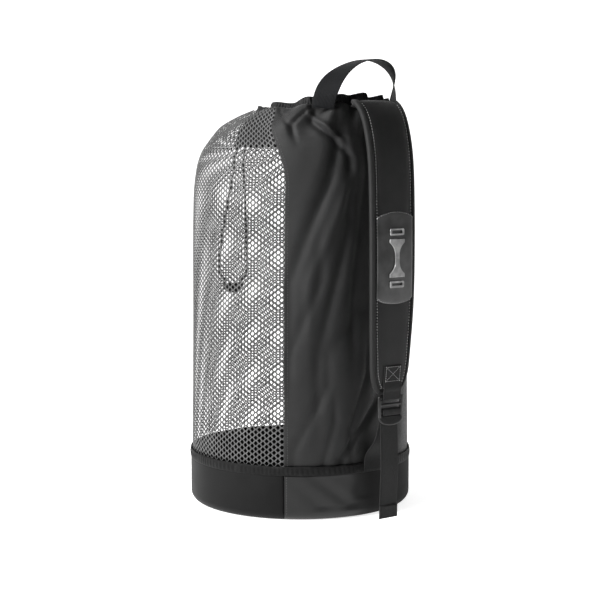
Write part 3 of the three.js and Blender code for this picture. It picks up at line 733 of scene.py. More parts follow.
def make_casing():
    casing_row = smooth_table(CASING_SECTIONS)

    def place(u, v):
        angle = math.tau * u
        height, radius, lean, gather = casing_row(v)
        fold = gather * ruffle(angle)
        small = CASING_GATHER * gather * math.sin(61 * angle + 5 * v + 2 * math.sin(5 * angle))
        small += CASING_RIPPLE * math.sin(97 * angle - 7 * v)
        reach = radius * BODY_RADIUS - fold * RUFFLE_DEPTH - abs(small)
        top = 0.0015 * math.sin(5 * angle + 1) + 0.001 * math.sin(9 * angle)
        stand = CASING_STAND * (0.78 + 0.22 * math.cos(angle)) * (1 - 0.5 * math.sin(angle) ** 6) + top
        z = MOUTH_Z + height * (CASING_DROP if height < 0 else stand)
        z += lean * MOUTH_TILT * math.cos(angle) - fold * RUFFLE_DROP
        out = Vector((math.sin(angle), math.cos(angle), 0))
        return lean * MOUTH_LEAN + reach * out + Vector((0, 0, z))

    paint = nylon_paint("casing_nylon", navy(2), navy(8), weave=0.0008, sheen=0.0)
    made = sheet("casing_cloth", (720, 44), place, CASING_CLOTH, CASING_THICK, paint, closed=True)
    finish_piece(made, ["mouth_casing"])


make_casing()


# Haul handle
# An arch of 40 mm black webbing whose ends are sewn between panel and casing. The legs lie flat on
# the gathered mouth and turn into the arch.
WEBBING_WIDTH = 0.040
WEBBING_THICK = 0.002
WEBBING_RIB = 0.0017
WEBBING_CORD = 0.0024
HANDLE_ANGLE = math.radians(33)
HANDLE_TURN = math.radians(3)
HANDLE_SKEW = 0.12
HANDLE_RISE = 0.084
HANDLE_BOW = 0.008
HANDLE_LIFT = 0.002
HANDLE_FOOT = 0.985
HANDLE_CLEARANCE = 0.0009
HANDLE_STEPS = 96


def webbing_paint(name, dark, light):
    paint = Paint(name, roughness=0.66, specular_ior_level=0.2)
    across, along = paint.cloth()
    rib = along.wave(WEBBING_RIB)
    cord = (across * (math.tau / WEBBING_CORD) + rib * 0.9).math("SINE")
    selvedge = across.math("ABSOLUTE").between(0.0155, 0.0175)
    fuzz = paint.noise(1300, 2)
    share = (rib * 0.16 + cord * 0.2 + fuzz * 0.8).between(0.1, 0.9) * (1 - selvedge * 0.35)
    paint.colours(dark, light, share)
    paint.bump(rib + cord * 0.8 + fuzz * 0.5, 0.00025, 0.8)
    return paint.material


def webbing_ring(width, thick):
    """A flat strap's section, thinner at its woven edges."""
    half = width / 2
    upper = [(-half, 0.25), (-half * 0.93, 0.45), (-half * 0.5, 0.5), (0, 0.5), (half * 0.5, 0.5),
             (half * 0.93, 0.45), (half, 0.25)]
    return [(s, h * thick) for s, h in upper] + [(s, -h * thick) for s, h in reversed(upper)]


def make_handle():
    def foot(sign):
        angle = HANDLE_TURN + sign * HANDLE_ANGLE
        out = Vector((math.sin(angle), math.cos(angle), 0))
        seats = [body(angle + math.radians(1.5 * k - 9), HANDLE_FOOT).dot(out) for k in range(13)]
        place = body(angle, HANDLE_FOOT)
        return place + out * (max(seats) - place.dot(out) + WEBBING_THICK / 2 + HANDLE_CLEARANCE)

    right, left = foot(1), foot(-1)
    line = []
    for k in range(HANDLE_STEPS + 1):
        turn = math.pi * k / HANDLE_STEPS
        bow = math.sin(turn) ** 1.2 if 0 < k < HANDLE_STEPS else 0
        rise = math.sin(turn) ** 0.8 if 0 < k < HANDLE_STEPS else 0
        centre = right.lerp(left, (1 - math.cos(turn)) / 2 + HANDLE_SKEW * bow)
        centre += Vector((0, HANDLE_BOW * bow, HANDLE_RISE * rise + HANDLE_LIFT))
        side = 1 if k < HANDLE_STEPS / 2 else -1
        twist = ((math.pi / 2 - HANDLE_ANGLE) * side - HANDLE_TURN) * (1 - bow)
        line.append((centre, Vector((math.sin(twist), -math.cos(twist), 0))))
    places = []
    for k, (centre, across) in enumerate(line):
        run = (line[min(k + 1, HANDLE_STEPS)][0] - line[max(k - 1, 0)][0]).normalized()
        across = (across - run * across.dot(run)).normalized()
        places.append((centre, across, across.cross(run)))
    paint = webbing_paint("handle_webbing", navy(4), navy(14))
    made = swept("handle_strap", places, webbing_ring(WEBBING_WIDTH, WEBBING_THICK), paint)
    finish_piece(made, ["haul_handle"])


make_handle()


# Shoulder pad
# A foam pad in a woven nylon cover, narrower at its end. It leaves the top of the panel under the
# handle, arches over and hangs a hand's width behind the panel.
STRAP_SIDE = -0.008
PAD_WIDTH = 0.094
PAD_THICK = 0.017
# Places of (distance behind the axis, height), as shares of the body's radius and the mouth's height.
PAD_ROUTE = [
    (0.941, 0.994), (1.015, 1.01), (1.11, 0.99),
    (1.185, 0.945), (1.24, 0.87), (1.262, 0.74),
    (1.266, 0.56), (1.243, 0.41), (1.222, 0.316),
]
# Rows of (along, width, thickness), as shares of the pad's own.
PAD_SECTIONS = [
    (0, 0.96, 0.3), (0.05, 1, 0.62),
    (0.12, 1, 1), (0.5, 1, 1),
    (0.72, 0.97, 1), (0.88, 0.88, 1),
    (0.94, 0.82, 0.95), (0.98, 0.68, 0.85),
    (1, 0.5, 0.7),
]
STITCH_INSET = 0.0085
STITCH_CHANNEL = 0.0017
STITCH_DEPTH = 0.001
PAD_CROWN_FALL = 0.38
PAD_FINE_STEPS = 800
PAD_STEP_COUNT = 400
PAD_ROWS = 120
PAD_RING = 28
PAD_SHRINK = 0.0008
FILL_CAP = 0.0014
FILL_FRAMES = 20
FILL_PRESSURE = 4
FILL_VOXEL = 0.0045


def pad_line():
    """The strap's centre line as even steps of length, each a place and a direction."""
    points = [Vector((STRAP_SIDE, back * BODY_RADIUS, height * MOUTH_Z)) for back, height in PAD_ROUTE]
    fine = curve_points(points, PAD_FINE_STEPS)
    run = [0.0]
    for (a, _), (b, _) in zip(fine, fine[1:]):
        run.append(run[-1] + (b - a).length)
    steps = []
    k = 0
    for step in range(PAD_STEP_COUNT + 1):
        while k < PAD_FINE_STEPS - 1 and run[k + 1] < run[-1] * step / PAD_STEP_COUNT:
            k += 1
        steps.append(fine[k])
    return steps, run[-1]


PAD_STEPS, PAD_LENGTH = pad_line()
pad_row = smooth_table(PAD_SECTIONS)


def pad_place(side, along, lift):
    """A place on the strap: side from its centre line, share along it, lift off its middle."""
    at = min(max(along, 0), 1) * PAD_STEP_COUNT
    low = min(int(at), PAD_STEP_COUNT - 1)
    (a, p), (b, q) = PAD_STEPS[low], PAD_STEPS[low + 1]
    run = p.lerp(q, at - low).normalized()
    centre = a.lerp(b, at - low) + run * (along - min(max(along, 0), 1)) * PAD_LENGTH
    return centre + Vector((side, 0, 0)) + Vector((1, 0, 0)).cross(run) * lift


def pad_half(along):
    return pad_row(along)[0] * PAD_WIDTH / 2


def pad_crown(along, share):
    """Half the pad's thickness at a share of its half width."""
    return pad_row(along)[1] * PAD_THICK * (1 - PAD_CROWN_FALL * min(abs(share), 1) ** 3) / 2


def skinned(bm, rings):
    """Skins over a row of rings of vertices and closes both ends."""
    for low, high in zip(rings, rings[1:]):
        for i in range(len(low)):
            j = (i + 1) % len(low)
            bm.faces.new([low[i], low[j], high[j], high[i]])
    bm.faces.new(rings[0])
    bm.faces.new(rings[-1])
    bmesh.ops.recalc_face_normals(bm, faces=bm.faces)


def pad_body(paint):
    """The pad a little inside its size, which leaves room for the cover to swell."""
    bm = bmesh.new()
    rings = []
    for k in range(PAD_ROWS + 1):
        along = k / PAD_ROWS
        ring = []
        for i in range(PAD_RING):
            turn = math.tau * i / PAD_RING
            c, s = math.cos(turn), math.sin(turn)
            share = math.copysign(abs(c) ** 0.5, c)
            lift = math.copysign(abs(s) ** 0.6, s) * pad_crown(along, share)
            side = share * (pad_half(along) - PAD_SHRINK)
            ring.append(bm.verts.new(pad_place(side, along, lift * (1 - PAD_SHRINK * 60))))
        rings.append(ring)
    skinned(bm, rings)
    return mesh_piece("strap_pad", bm, paint)


def filled(pad):
    """Lets the pad's cover swell over its foam in a short cloth simulation, no further than FILL_CAP."""
    view = bpy.context.view_layer
    view.objects.active = pad
    pad.select_set(True)
    remesh = pad.modifiers.new("remesh", "REMESH")
    remesh.mode = "VOXEL"
    remesh.voxel_size = FILL_VOXEL
    bpy.ops.object.modifier_apply(modifier=remesh.name)
    rest = [v.co.copy() for v in pad.data.vertices]
    cloth = pad.modifiers.new("cloth", "CLOTH")
    cloth.settings.use_pressure = True
    cloth.settings.uniform_pressure_force = FILL_PRESSURE
    cloth.settings.effector_weights.gravity = 0
    cloth.point_cache.frame_start = 1
    cloth.point_cache.frame_end = FILL_FRAMES
    for step in range(1, FILL_FRAMES + 1):
        bpy.context.scene.frame_set(step)
    bpy.ops.object.modifier_apply(modifier=cloth.name)
    bpy.context.scene.frame_set(1)
    for vert, start in zip(pad.data.vertices, rest):
        move = vert.co - start
        if move.length > FILL_CAP:
            vert.co = start + move.normalized() * FILL_CAP
    pad.select_set(False)


def nearest_step(place):
    """The step of the strap's centre line that lies nearest to a place, seen from the side."""
    def off_line(k):
        return (PAD_STEPS[k][0].yz - place.yz).length_squared

    near = min(range(0, PAD_STEP_COUNT + 1, 8), key=off_line)
    return min(range(max(0, near - 8), min(PAD_STEP_COUNT, near + 8) + 1), key=off_line)


def press_seams(pad):
    """Presses the two stitched channels into the pad and gives its cover its own coordinates."""
    mesh = pad.data
    layer = mesh.uv_layers.new(name="UVMap")
    spots = []
    for vert in mesh.vertices:
        near = nearest_step(vert.co)
        place, run = PAD_STEPS[near]
        normal = Vector((1, 0, 0)).cross(run)
        lift = (vert.co - place).dot(normal)
        side = vert.co.x - STRAP_SIDE
        along = near / PAD_STEP_COUNT
        off = (abs(side) - (pad_half(along) - STITCH_INSET)) / STITCH_CHANNEL
        end = (1 - along) * PAD_LENGTH
        if 0.02 < along and end > STITCH_INSET:
            vert.co -= normal * math.copysign(STITCH_DEPTH, lift) * math.exp(-off * off)
        spots.append((side, along * PAD_LENGTH))
    for loop in mesh.loops:
        layer.data[loop.index].uv = spots[loop.vertex_index]


def make_pad():
    paint = nylon_paint("strap_nylon", grey(11), grey(32), weave=0.0014, sheen=0.03)
    pad = pad_body(paint)
    filled(pad)
    smooth = pad.modifiers.new("smooth", "SUBSURF")
    smooth.levels = 1
    smooth.render_levels = 1
    bpy.context.view_layer.objects.active = pad
    bpy.ops.object.modifier_apply(modifier=smooth.name)
    press_seams(pad)
    pad.data.polygons.foreach_set("use_smooth", [True] * len(pad.data.polygons))
    finish_piece(pad, ["shoulder_pad"])
    return pad


strap_pad = make_pad()


# Pad edge tape and stitching
# A folded tape closes the pad's edge all round, and a pale thread runs along it on both faces.
EDGE_TAPE_RIB = 0.0016
EDGE_TAPE_LAP = 0.0040
EDGE_TAPE_CROWN = 0.0075
EDGE_TAPE_TALL = PAD_THICK * 0.36
EDGE_TAPE_STEPS = 10
EDGE_TAPE_START = 0.03
STITCH_START = 0.06
STITCH_LENGTH = 0.0033
STITCH_GAP = 0.0019
PAD_THREAD = 0.0013
THREAD_LIFT = 0.0008


def thread_paint():
    paint = Paint("pale_thread", roughness=0.6, specular_ior_level=0.3)
    twist = paint.noise(2200, 1)
    paint.colours(grey(120), grey(205), twist.between(0.35, 0.65))
    return paint.material


def stitches(name, runs, paint, wide, length=STITCH_LENGTH, gap=STITCH_GAP):
    """Sewn stitches along lines of (place, normal), joined into one piece."""
    bm = bmesh.new()
    for run in runs:
        left = 0.0
        for (a, up), (b, _) in zip(run, run[1:]):
            way = b - a
            span = way.length
            if span < 1e-7:
                continue
            side = up.cross(way).normalized()
            turn = Matrix((way.normalized(), side, up.normalized())).transposed().to_4x4()
            while left < span:
                place = Matrix.Translation(a + way * (left / span)) @ turn
                size = Matrix.Diagonal((length / 2, wide / 2, wide / 2, 1))
                bmesh.ops.create_uvsphere(bm, u_segments=6, v_segments=4, radius=1, matrix=place @ size)
                left += length + gap
            left -= span
    return mesh_piece(name, bm, paint)


def pad_outline(inset, first, steps):
    """Side and share along of a line that runs down one side of the pad, round its end and back up."""
    shares = [first + (1 - first) * k / steps for k in range(steps + 1)]
    down = [(pad_half(a), a) for a in shares]
    outline = down + [(-w, a) for w, a in reversed(down)]
    if not inset:
        return outline
    moved = []
    for k, (w, a) in enumerate(outline):
        p, q = outline[max(0, k - 1)], outline[min(len(outline) - 1, k + 1)]
        run = Vector((q[0] - p[0], (q[1] - p[1]) * PAD_LENGTH)).normalized()
        moved.append((w - run.y * inset, a + run.x * inset / PAD_LENGTH))
    return moved


def pad_edge_line(outline):
    """Place, in-face outward direction and lift direction along an outline of the pad."""
    line = []
    for k, (w, a) in enumerate(outline):
        p, q = outline[max(0, k - 1)], outline[min(len(outline) - 1, k + 1)]
        run = (pad_place(q[0], q[1], 0) - pad_place(p[0], p[1], 0)).normalized()
        lift = (pad_place(0, a, 0.01) - pad_place(0, a, 0)).normalized()
        line.append((pad_place(w, a, 0), run.cross(lift), lift))
    return line


def make_pad_trim(pad):
    trim = Paint("edge_tape", roughness=0.6, specular_ior_level=0.3, sheen_weight=0.05)
    _, along = trim.cloth()
    rib = along.wave(EDGE_TAPE_RIB)
    share = (rib * 0.2 + trim.noise(700, 2)).between(0.2, 0.9)
    trim.colours(grey(8), grey(30), share)
    trim.bump(rib, 0.0002, 0.6)
    outline = pad_outline(0, first=EDGE_TAPE_START, steps=60)
    line = pad_edge_line(outline)
    quarter = len(outline) // 4
    facing = 1 if line[quarter][1].x * outline[quarter][0] > 0 else -1
    rows = [(place, out * facing, lift) for place, out, lift in line]
    turns = [math.pi * k / EDGE_TAPE_STEPS for k in range(EDGE_TAPE_STEPS + 1)]
    ring = [(EDGE_TAPE_CROWN * math.sin(turn) - EDGE_TAPE_LAP, -EDGE_TAPE_TALL * math.cos(turn))
            for turn in turns]
    tape = swept("pad_edge_tape", rows, ring, trim.material)
    finish_piece(tape, ["pad_piping"])
    thread = thread_paint()
    runs = []
    for face in (1, -1):
        run = []
        for w, a in pad_outline(STITCH_INSET, first=STITCH_START, steps=120):
            high = pad_place(w, a, face * PAD_THICK * 1.5)
            up = (high - pad_place(w, a, 0)).normalized()
            hit, place, _, _ = pad.ray_cast(high, -up)
            if hit:
                run.append((place + up * THREAD_LIFT, up))
        runs.append(run)
    finish_piece(stitches("pad_stitches", runs, thread, wide=PAD_THREAD), [])
    return thread


pale_thread = make_pad_trim(strap_pad)


# Strap patch
# A patch of smooth coated cloth is sewn on the strap, arched at both ends, and carries a moulded
# keeper with a slotted bar at each end.
PATCH_WIDTH = 0.081
KEEPER_WIDTH = 0.033
KEEPER_LENGTH = 0.101
PATCH_TOP_Z = MOUTH_Z * 0.753
PATCH_END_Z = MOUTH_Z * 0.529
PATCH_ARCH = 0.018
PATCH_LIFT = 0.0016
PATCH_PUFF = 0.0016
PATCH_ROUNDING = 0.0012
PATCH_THICK = 0.0012
PATCH_EDGE = 0.0014
PATCH_THREAD = 0.0008
PATCH_STITCH_ROWS = (0.012, 0.988)
KEEPER_LIFT = 0.0036
KEEPER_TALL = 0.0024
KEEPER_BAR_TALL = 0.002
KEEPER_BAR_DROP = 0.005
KEEPER_BAR_ROOM = 0.017
KEEPER_BAR_HALF = (0.95, 0.0055)
KEEPER_SLOT_HALF = (0.72, 0.0022)
KEEPER_WAIST = 0.27
KEEPER_ROUNDING = 0.0006


def pad_share(z):
    """The share of the pad's length where it passes a height below its crown."""
    past_crown = range(PAD_STEP_COUNT // 4, PAD_STEP_COUNT + 1)
    return min(past_crown, key=lambda k: abs(PAD_STEPS[k][0].z - z)) / PAD_STEP_COUNT


def on_face(side, along, lift):
    return pad_place(side, along, pad_crown(along, side / pad_half(along)) + lift)


def make_patch(thread):
    top, end = pad_share(PATCH_TOP_Z), pad_share(PATCH_END_Z)
    paint = Paint("patch_coating", specular_ior_level=0.55, coat_weight=0.3, coat_roughness=0.3)
    cloud = paint.noise(30, 3)
    paint.colours(grey(30), grey(58), cloud.between(0.3, 0.7))
    paint.link("Roughness", cloud * 0.14 + 0.26)
    paint.bump(cloud + paint.noise(900, 2) * 0.15, 0.0008, 0.4)

    def arch(side):
        return PATCH_ARCH * (1 - math.sqrt(max(0, 1 - (side * 0.92) ** 2)))

    def place(u, v):
        side = (2 * u - 1) * PATCH_WIDTH / 2
        bend = arch(2 * u - 1) / PAD_LENGTH
        along = (top + bend) + (end - top - 2 * bend) * v
        edge = min(u, 1 - u, v * 2, (1 - v) * 2) * PATCH_WIDTH
        round_down = PATCH_ROUNDING * math.exp(-edge / PATCH_EDGE)
        puff = PATCH_PUFF * math.sin(math.pi * v) * math.cos((2 * u - 1) * math.pi / 2)
        return on_face(side, along, PATCH_LIFT + puff - round_down)

    size = (PATCH_WIDTH, (end - top) * PAD_LENGTH)
    made = sheet("patch_cloth", (40, 70), place, size, PATCH_THICK, paint.material)
    finish_piece(made, ["strap_patch"])
    up = (on_face(0, top, 0.01) - on_face(0, top, 0)).normalized()
    runs = []
    for v in PATCH_STITCH_ROWS:
        runs.append([(place(0.03 + 0.94 * k / 40, v) + up * 0.0003, up) for k in range(41)])
    finish_piece(stitches("patch_stitches", runs, thread, wide=PATCH_THREAD), [])


def make_keeper():
    top, end = pad_share(PATCH_TOP_Z), pad_share(PATCH_END_Z)
    middle = (top + end) / 2
    paint = Paint("keeper_moulding", roughness=0.34, specular_ior_level=0.5, coat_weight=0.2)
    cloud = paint.noise(60, 2)
    paint.colours(grey(118), grey(160), cloud.between(0.3, 0.7))
    paint.bump(paint.noise(700, 2), 0.0003, 0.3)
    reach = KEEPER_LENGTH / 2

    def bar(name, outline, hole, tall):
        """A flat moulding on the patch from an outline of (side, down) places, with a hole if given."""
        bm = bmesh.new()
        rings = [outline] + ([hole] if hole else [])
        loops = [[bm.verts.new((s, d, 0)) for s, d in ring] for ring in rings]
        if hole:
            for a in range(len(outline)):
                b = (a + 1) % len(outline)
                bm.faces.new([loops[0][a], loops[0][b], loops[1][b], loops[1][a]])
        else:
            bm.faces.new(loops[0])
            bmesh.ops.triangulate(bm, faces=bm.faces[:])
        lifted = bmesh.ops.extrude_face_region(bm, geom=bm.faces[:])
        top_verts = [g for g in lifted["geom"] if isinstance(g, bmesh.types.BMVert)]
        for vert in top_verts:
            vert.co.z = tall
        bmesh.ops.recalc_face_normals(bm, faces=bm.faces)
        rim = [e for e in bm.edges if all(v.co.z > tall / 2 for v in e.verts)
               and e.calc_face_angle(0) > 0.8]
        bmesh.ops.bevel(bm, geom=rim, offset=KEEPER_ROUNDING, segments=2, profile=0.5, affect="EDGES")
        for vert in bm.verts:
            along = middle + vert.co.y / PAD_LENGTH
            vert.co = on_face(vert.co.x, along, KEEPER_LIFT + vert.co.z)
        return mesh_piece(name, bm, paint.material, smooth=False)

    half = KEEPER_WIDTH / 2
    body_reach = reach - KEEPER_BAR_ROOM
    side = []
    for k in range(33):
        t = -1 + 2 * k / 32
        flare = abs(t) ** 3.2
        waist = half * (KEEPER_WAIST + (1 - KEEPER_WAIST) * min(1, flare * 1.9))
        side.append((waist, t * body_reach))
    hourglass = side + [(-s, d) for s, d in reversed(side)]
    pieces = [bar("keeper_waist", hourglass, None, KEEPER_TALL)]

    def frame_ring(w, h, at):
        """A ring with round corners, w and h from its middle to its sides."""
        corners = []
        r = min(w, h) * 0.45
        for cx, cy, start in [(w, h, 0), (-w, h, 90), (-w, -h, 180), (w, -h, 270)]:
            for step in range(4):
                turn = math.radians(start + step * 30)
                corners.append((math.copysign(w - r, cx) + r * math.cos(turn),
                                math.copysign(h - r, cy) + r * math.sin(turn) + at))
        return corners

    for sign in (-1, 1):
        at = sign * (reach - KEEPER_BAR_DROP)
        outer, inner = [frame_ring(half * w, h, at) for w, h in (KEEPER_BAR_HALF, KEEPER_SLOT_HALF)]
        pieces.append(bar(f"keeper_bar_{'top' if sign < 0 else 'end'}", outer, inner, KEEPER_BAR_TALL))
    for k, piece in enumerate(pieces):
        finish_piece(piece, ["patch_keeper"] if k == 0 else [])


make_patch(pale_thread)
make_keeper()


# Buckle and lower webbing
# A moulded ladder lock hangs in a webbing tab sewn on the pad's end with a crossed box of stitches.
# The adjuster strap comes up from the base seam, turns over the lock's bar and hangs as a free tail.
LOCK_LOW, LOCK_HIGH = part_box("ladder_lock")
LOCK_Y = (LOCK_LOW.y + LOCK_HIGH.y) / 2
LOCK_THICK = LOCK_HIGH.y - LOCK_LOW.y
LOCK_STEPS = [0.006, 0.007, 0.006, 0.007, 0.006, 0.007]
LOCK_RAIL = 0.0062
LOCK_ROUNDING = 0.0022
LOCK_BAR_INSET = Vector((0.003, 0.0004, 0))
LOCK_BAR_ROUNDING = 0.0024
LOCK_TAB_STEPS = 12
LOCK_TAB_ACROSS = (-1, -0.85, -0.4, 0, 0.4, 0.85, 1)
LOCK_TAB_THICK = 0.0032
STRAP_CLEARANCE = 0.0003
TAB_ON_PAD = (0.912, 0.938, 0.962)
TAB_BOX = (0.915, 0.962)
TAB_BOX_INSET = 0.004


def lock_levels():
    levels = [LOCK_HIGH.z]
    for step in LOCK_STEPS:
        levels.append(levels[-1] - step)
    return levels + [LOCK_LOW.z]


def side_strap(name, route, count, paint):
    """A webbing strap whose line runs in the plane of Y and Z, through places (y, z)."""
    points = [Vector((STRAP_SIDE, y, z)) for y, z in route]
    across = Vector((1, 0, 0))
    line = [(place, across, across.cross(run)) for place, run in curve_points(points, count)]
    return swept(name, line, webbing_ring(WEBBING_WIDTH, WEBBING_THICK), paint)


def make_lock():
    levels = lock_levels()
    paint = Paint("lock_moulding", roughness=0.34, specular_ior_level=0.5)
    grain = paint.noise(800, 2)
    paint.colours(grey(16), grey(34), grain.between(0.3, 0.8))
    paint.bump(grain, 0.0003, 0.35)
    bm = bmesh.new()

    def block(low, high, round_by, segments):
        made = bmesh.ops.create_cube(bm, size=1)["verts"]
        size = high - low
        for vert in made:
            vert.co = low + Vector((vert.co[i] + 0.5) * size[i] for i in range(3))
        edges = list({e for v in made for e in v.link_edges})
        bmesh.ops.bevel(bm, geom=edges, offset=round_by, segments=segments, profile=0.5, affect="EDGES")

    left, right = LOCK_LOW.x, LOCK_HIGH.x
    back, front = LOCK_Y - LOCK_THICK / 2, LOCK_Y + LOCK_THICK / 2
    for x in (left, right - LOCK_RAIL):
        block(Vector((x, back, levels[6])), Vector((x + LOCK_RAIL, front, levels[0])), LOCK_ROUNDING, 3)
    for top, low in [(0, 1), (2, 3), (4, 5)]:
        block(Vector((left, back, levels[low])) + LOCK_BAR_INSET,
              Vector((right, front, levels[top])) - LOCK_BAR_INSET, LOCK_BAR_ROUNDING, 4)
    lock = mesh_piece("ladder_lock_body", bm, paint.material)
    finish_piece(lock, ["ladder_lock"])

    bm = bmesh.new()
    half = (right - left) / 2
    rings = []
    for k in range(LOCK_TAB_STEPS + 1):
        t = k / LOCK_TAB_STEPS
        z = levels[6] + 0.003 - (levels[6] + 0.003 - levels[7]) * t
        wide = half * math.sqrt(max(0.02, 1 - (t * 0.97) ** 2.6))
        out = front - 0.0005 + 0.0035 * t
        thick = LOCK_TAB_THICK - 0.001 * t
        ring = [(s, out) for s in LOCK_TAB_ACROSS] + [(s, out - thick) for s in reversed(LOCK_TAB_ACROSS)]
        rings.append([bm.verts.new((STRAP_SIDE + s * wide, y - 0.001 * s * s, z)) for s, y in ring])
    skinned(bm, rings)
    finish_piece(mesh_piece("ladder_lock_tab", bm, paint.material), [])


def make_webbing(thread):
    levels = lock_levels()
    paint = webbing_paint("strap_webbing", grey(22), grey(60))
    gap = STRAP_CLEARANCE + WEBBING_THICK / 2
    front = LOCK_Y + LOCK_THICK / 2 + gap
    back = LOCK_Y - LOCK_THICK / 2 - gap
    end = pad_place(0, 1, 0)
    on_pad = [pad_place(0, a, pad_crown(a, 0) + gap + STRAP_CLEARANCE) for a in TAB_ON_PAD]
    under = levels[1] - gap
    route = [(p.y, p.z) for p in on_pad] + [
        (front + 0.002, end.z + 0.007), (front + 0.0004, end.z), (front, levels[0] - 0.001),
        (front, levels[1]), (front - 0.0009, under + 0.0001), (front - 0.0022, under - 0.0004),
        (back + 0.0022, under - 0.0004), (back + 0.0009, under + 0.0001), (back, levels[1]),
        (back, levels[0] + 0.0012),
    ]
    finish_piece(side_strap("pad_tab", route, 120, paint), ["pad_webbing"])

    behind = back - WEBBING_THICK - STRAP_CLEARANCE
    over = levels[4] + gap
    low = levels[5] - gap
    seam = BASE_RADIUS + gap
    route = [
        (seam, BASE_HEIGHT + 0.002), (seam, SEAM_Z + 0.006), (seam + 0.005, SEAM_Z + 0.020),
        (behind - 0.014, levels[7] - 0.032), (behind - 0.004, levels[7] - 0.008), (behind, levels[6]),
        (behind, over - 0.003), (behind + 0.001, over + 0.0014), (back + 0.0012, over + 0.0018),
        (front - 0.0016, over + 0.001), (front, over - 0.0016), (front, low + 0.0016),
        (front - 0.0016, low - 0.001), (back + 0.0012, low - 0.0018), (back + 0.0002, low - 0.004),
        (back, levels[7]), (back + 0.0015, levels[7] - 0.030), (back + 0.003, levels[7] - 0.080),
        (back + 0.001, 0.060), (back - 0.001, 0.004),
    ]
    finish_piece(side_strap("adjuster_strap", route, 260, paint), ["adjuster_webbing"])

    # The tail's end is folded back on itself and sewn.
    hem = [(back + 0.0012, 0.0045), (back + 0.0012, 0.012), (back + 0.0014, 0.027)]
    finish_piece(side_strap("tail_hem", hem, 12, paint), [])

    # A crossed box of stitches holds the tab on the pad.
    lift = gap + WEBBING_THICK / 2 + 0.0004
    half = WEBBING_WIDTH / 2 - TAB_BOX_INSET

    def spot(side, along):
        place = pad_place(side, along, pad_crown(along, 0) + lift)
        up = (pad_place(0, along, 0.02) - pad_place(0, along, 0.01)).normalized()
        return place, up

    corners = [(-half, TAB_BOX[0]), (half, TAB_BOX[0]), (half, TAB_BOX[1]), (-half, TAB_BOX[1])]
    lines = [(corners[k], corners[(k + 1) % 4]) for k in range(4)]
    lines += [(corners[0], corners[2]), (corners[1], corners[3])]
    runs = []
    for (s0, t0), (s1, t1) in lines:
        runs.append([spot(s0 + (s1 - s0) * k / 12, t0 + (t1 - t0) * k / 12) for k in range(13)])
    made = stitches("tab_stitches", runs, thread, wide=0.0009, length=0.0028, gap=0.0012)
    finish_piece(made, [])


make_lock()
make_webbing(pale_thread)


# Seam stitching
# Dark polyester thread. A row of stitches runs down each edge of the panel, and another down the
# base wall's joint below it.
SEAM_INSET = 0.006
JOINT_INSET = 0.005
SEAM_THREAD = 0.0009


def make_seams():
    thread = Paint("dark_thread", roughness=0.6, specular_ior_level=0.3)
    twist = thread.noise(2000, 1)
    thread.colours(grey(36), grey(90), twist.between(0.3, 0.7))
    runs = []
    for sign in (-1, 1):
        run = []
        for k in range(161):
            along = 0.004 + 0.95 * k / 160
            angle = sign * (panel_half(along) - SEAM_INSET / BODY_RADIUS)
            out = Vector((math.sin(angle), math.cos(angle), 0))
            run.append((body(angle, along, panel_press(angle, along)) + out * 0.0002, out))
        runs.append(run)
        angle = sign * (PANEL_HALF - JOINT_INSET / BASE_RADIUS)
        out = Vector((math.sin(angle), math.cos(angle), 0))
        run = []
        for k in range(31):
            radius, z = base_profile(0.36 + 0.62 * k / 30)
            run.append((out * (radius - 0.0001) + Vector((0, 0, z)), out))
        runs.append(run)
    made = stitches("seam_stitches", runs, thread.material, SEAM_THREAD, length=0.003, gap=0.0016)
    finish_piece(made, [])


make_seams()


# Studio
# A pale floor that curves up behind the bag, and three soft lights. Past the floor's edges the camera
# sees white, but the surroundings light the bag only faintly.
FLOOR_HALF_WIDTH = 7
FLOOR_NEAR = -2.2
SWEEP_START = 2.4
SWEEP_RADIUS = 2
SWEEP_TOP = 5
WORLD_LIGHT = 0.09
LIGHT_AIM = Vector((0, 0, 0.4))


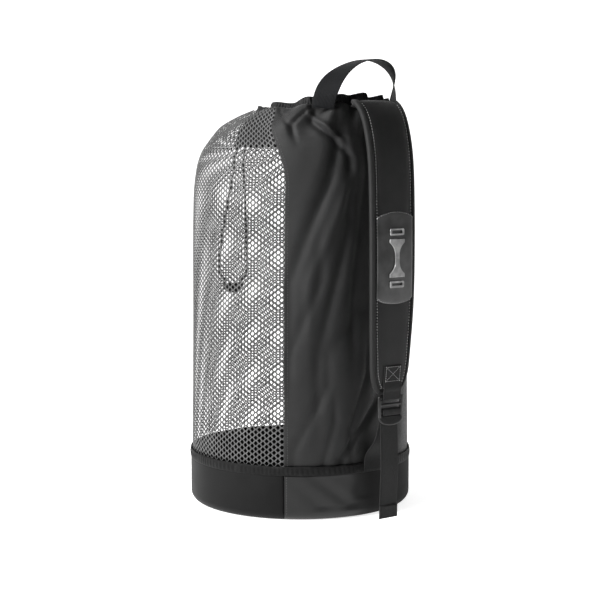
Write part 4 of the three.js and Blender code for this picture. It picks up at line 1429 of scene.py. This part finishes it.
def make_studio():
    paint = Paint("studio_floor", roughness=0.9, specular_ior_level=0.1, emission_strength=0.8)
    paint.shader.inputs["Emission Color"].default_value = (1, 1, 1, 1)
    paint.colours((0.86, 0.86, 0.86, 1), (0.88, 0.88, 0.88, 1), paint.noise(1.5, 2))
    bm = bmesh.new()
    turns = [math.radians(6 * k) for k in range(16)]
    sweep = [(SWEEP_START + SWEEP_RADIUS * math.sin(turn), SWEEP_RADIUS - SWEEP_RADIUS * math.cos(turn))
             for turn in turns]
    profile = [(FLOOR_NEAR, 0), *sweep, (SWEEP_START + SWEEP_RADIUS, SWEEP_TOP)]
    away = Vector((-math.sin(CAMERA_BEARING), -math.cos(CAMERA_BEARING), 0))
    side = Vector((away.y, -away.x, 0))
    rows = []
    for reach, z in profile:
        centre = away * reach + Vector((0, 0, z))
        rows.append([bm.verts.new(centre + side * s) for s in (-FLOOR_HALF_WIDTH, FLOOR_HALF_WIDTH)])
    for low, high in zip(rows, rows[1:]):
        bm.faces.new([low[0], low[1], high[1], high[0]])
    bmesh.ops.recalc_face_normals(bm, faces=bm.faces)
    floor = mesh_piece("studio_floor", bm, paint.material)

    world = bpy.data.worlds.new("studio")
    bpy.context.scene.world = world
    world.use_nodes = True
    tree = world.node_tree
    tree.nodes["Background"].inputs["Color"].default_value = (1, 1, 1, 1)
    ray = tree.nodes.new("ShaderNodeLightPath")
    level = tree.nodes.new("ShaderNodeMapRange")
    level.inputs["To Min"].default_value = WORLD_LIGHT
    level.inputs["To Max"].default_value = 1.0
    tree.links.new(ray.outputs["Is Camera Ray"], level.inputs["Value"])
    tree.links.new(level.outputs["Result"], tree.nodes["Background"].inputs["Strength"])

    def softbox(name, bearing, reach, height, size, power):
        data = bpy.data.lights.new(name, "AREA")
        data.shape = "RECTANGLE"
        data.size, data.size_y = size
        data.energy = power
        lamp = bpy.data.objects.new(name, data)
        bpy.context.collection.objects.link(lamp)
        turn = CAMERA_BEARING + math.radians(bearing)
        lamp.location = (math.sin(turn) * reach, math.cos(turn) * reach, height)
        lamp.rotation_euler = (LIGHT_AIM - lamp.location).to_track_quat("-Z", "Y").to_euler()

    softbox("key", 56, 2.2, 1.6, (0.5, 1.3), 115)
    softbox("fill", -62, 2.4, 1.3, (0.7, 1.6), 2)
    softbox("top", 50, 1.2, 2.4, (0.8, 0.8), 16)
    bpy.context.scene.view_settings.view_transform = "Standard"


make_studio()
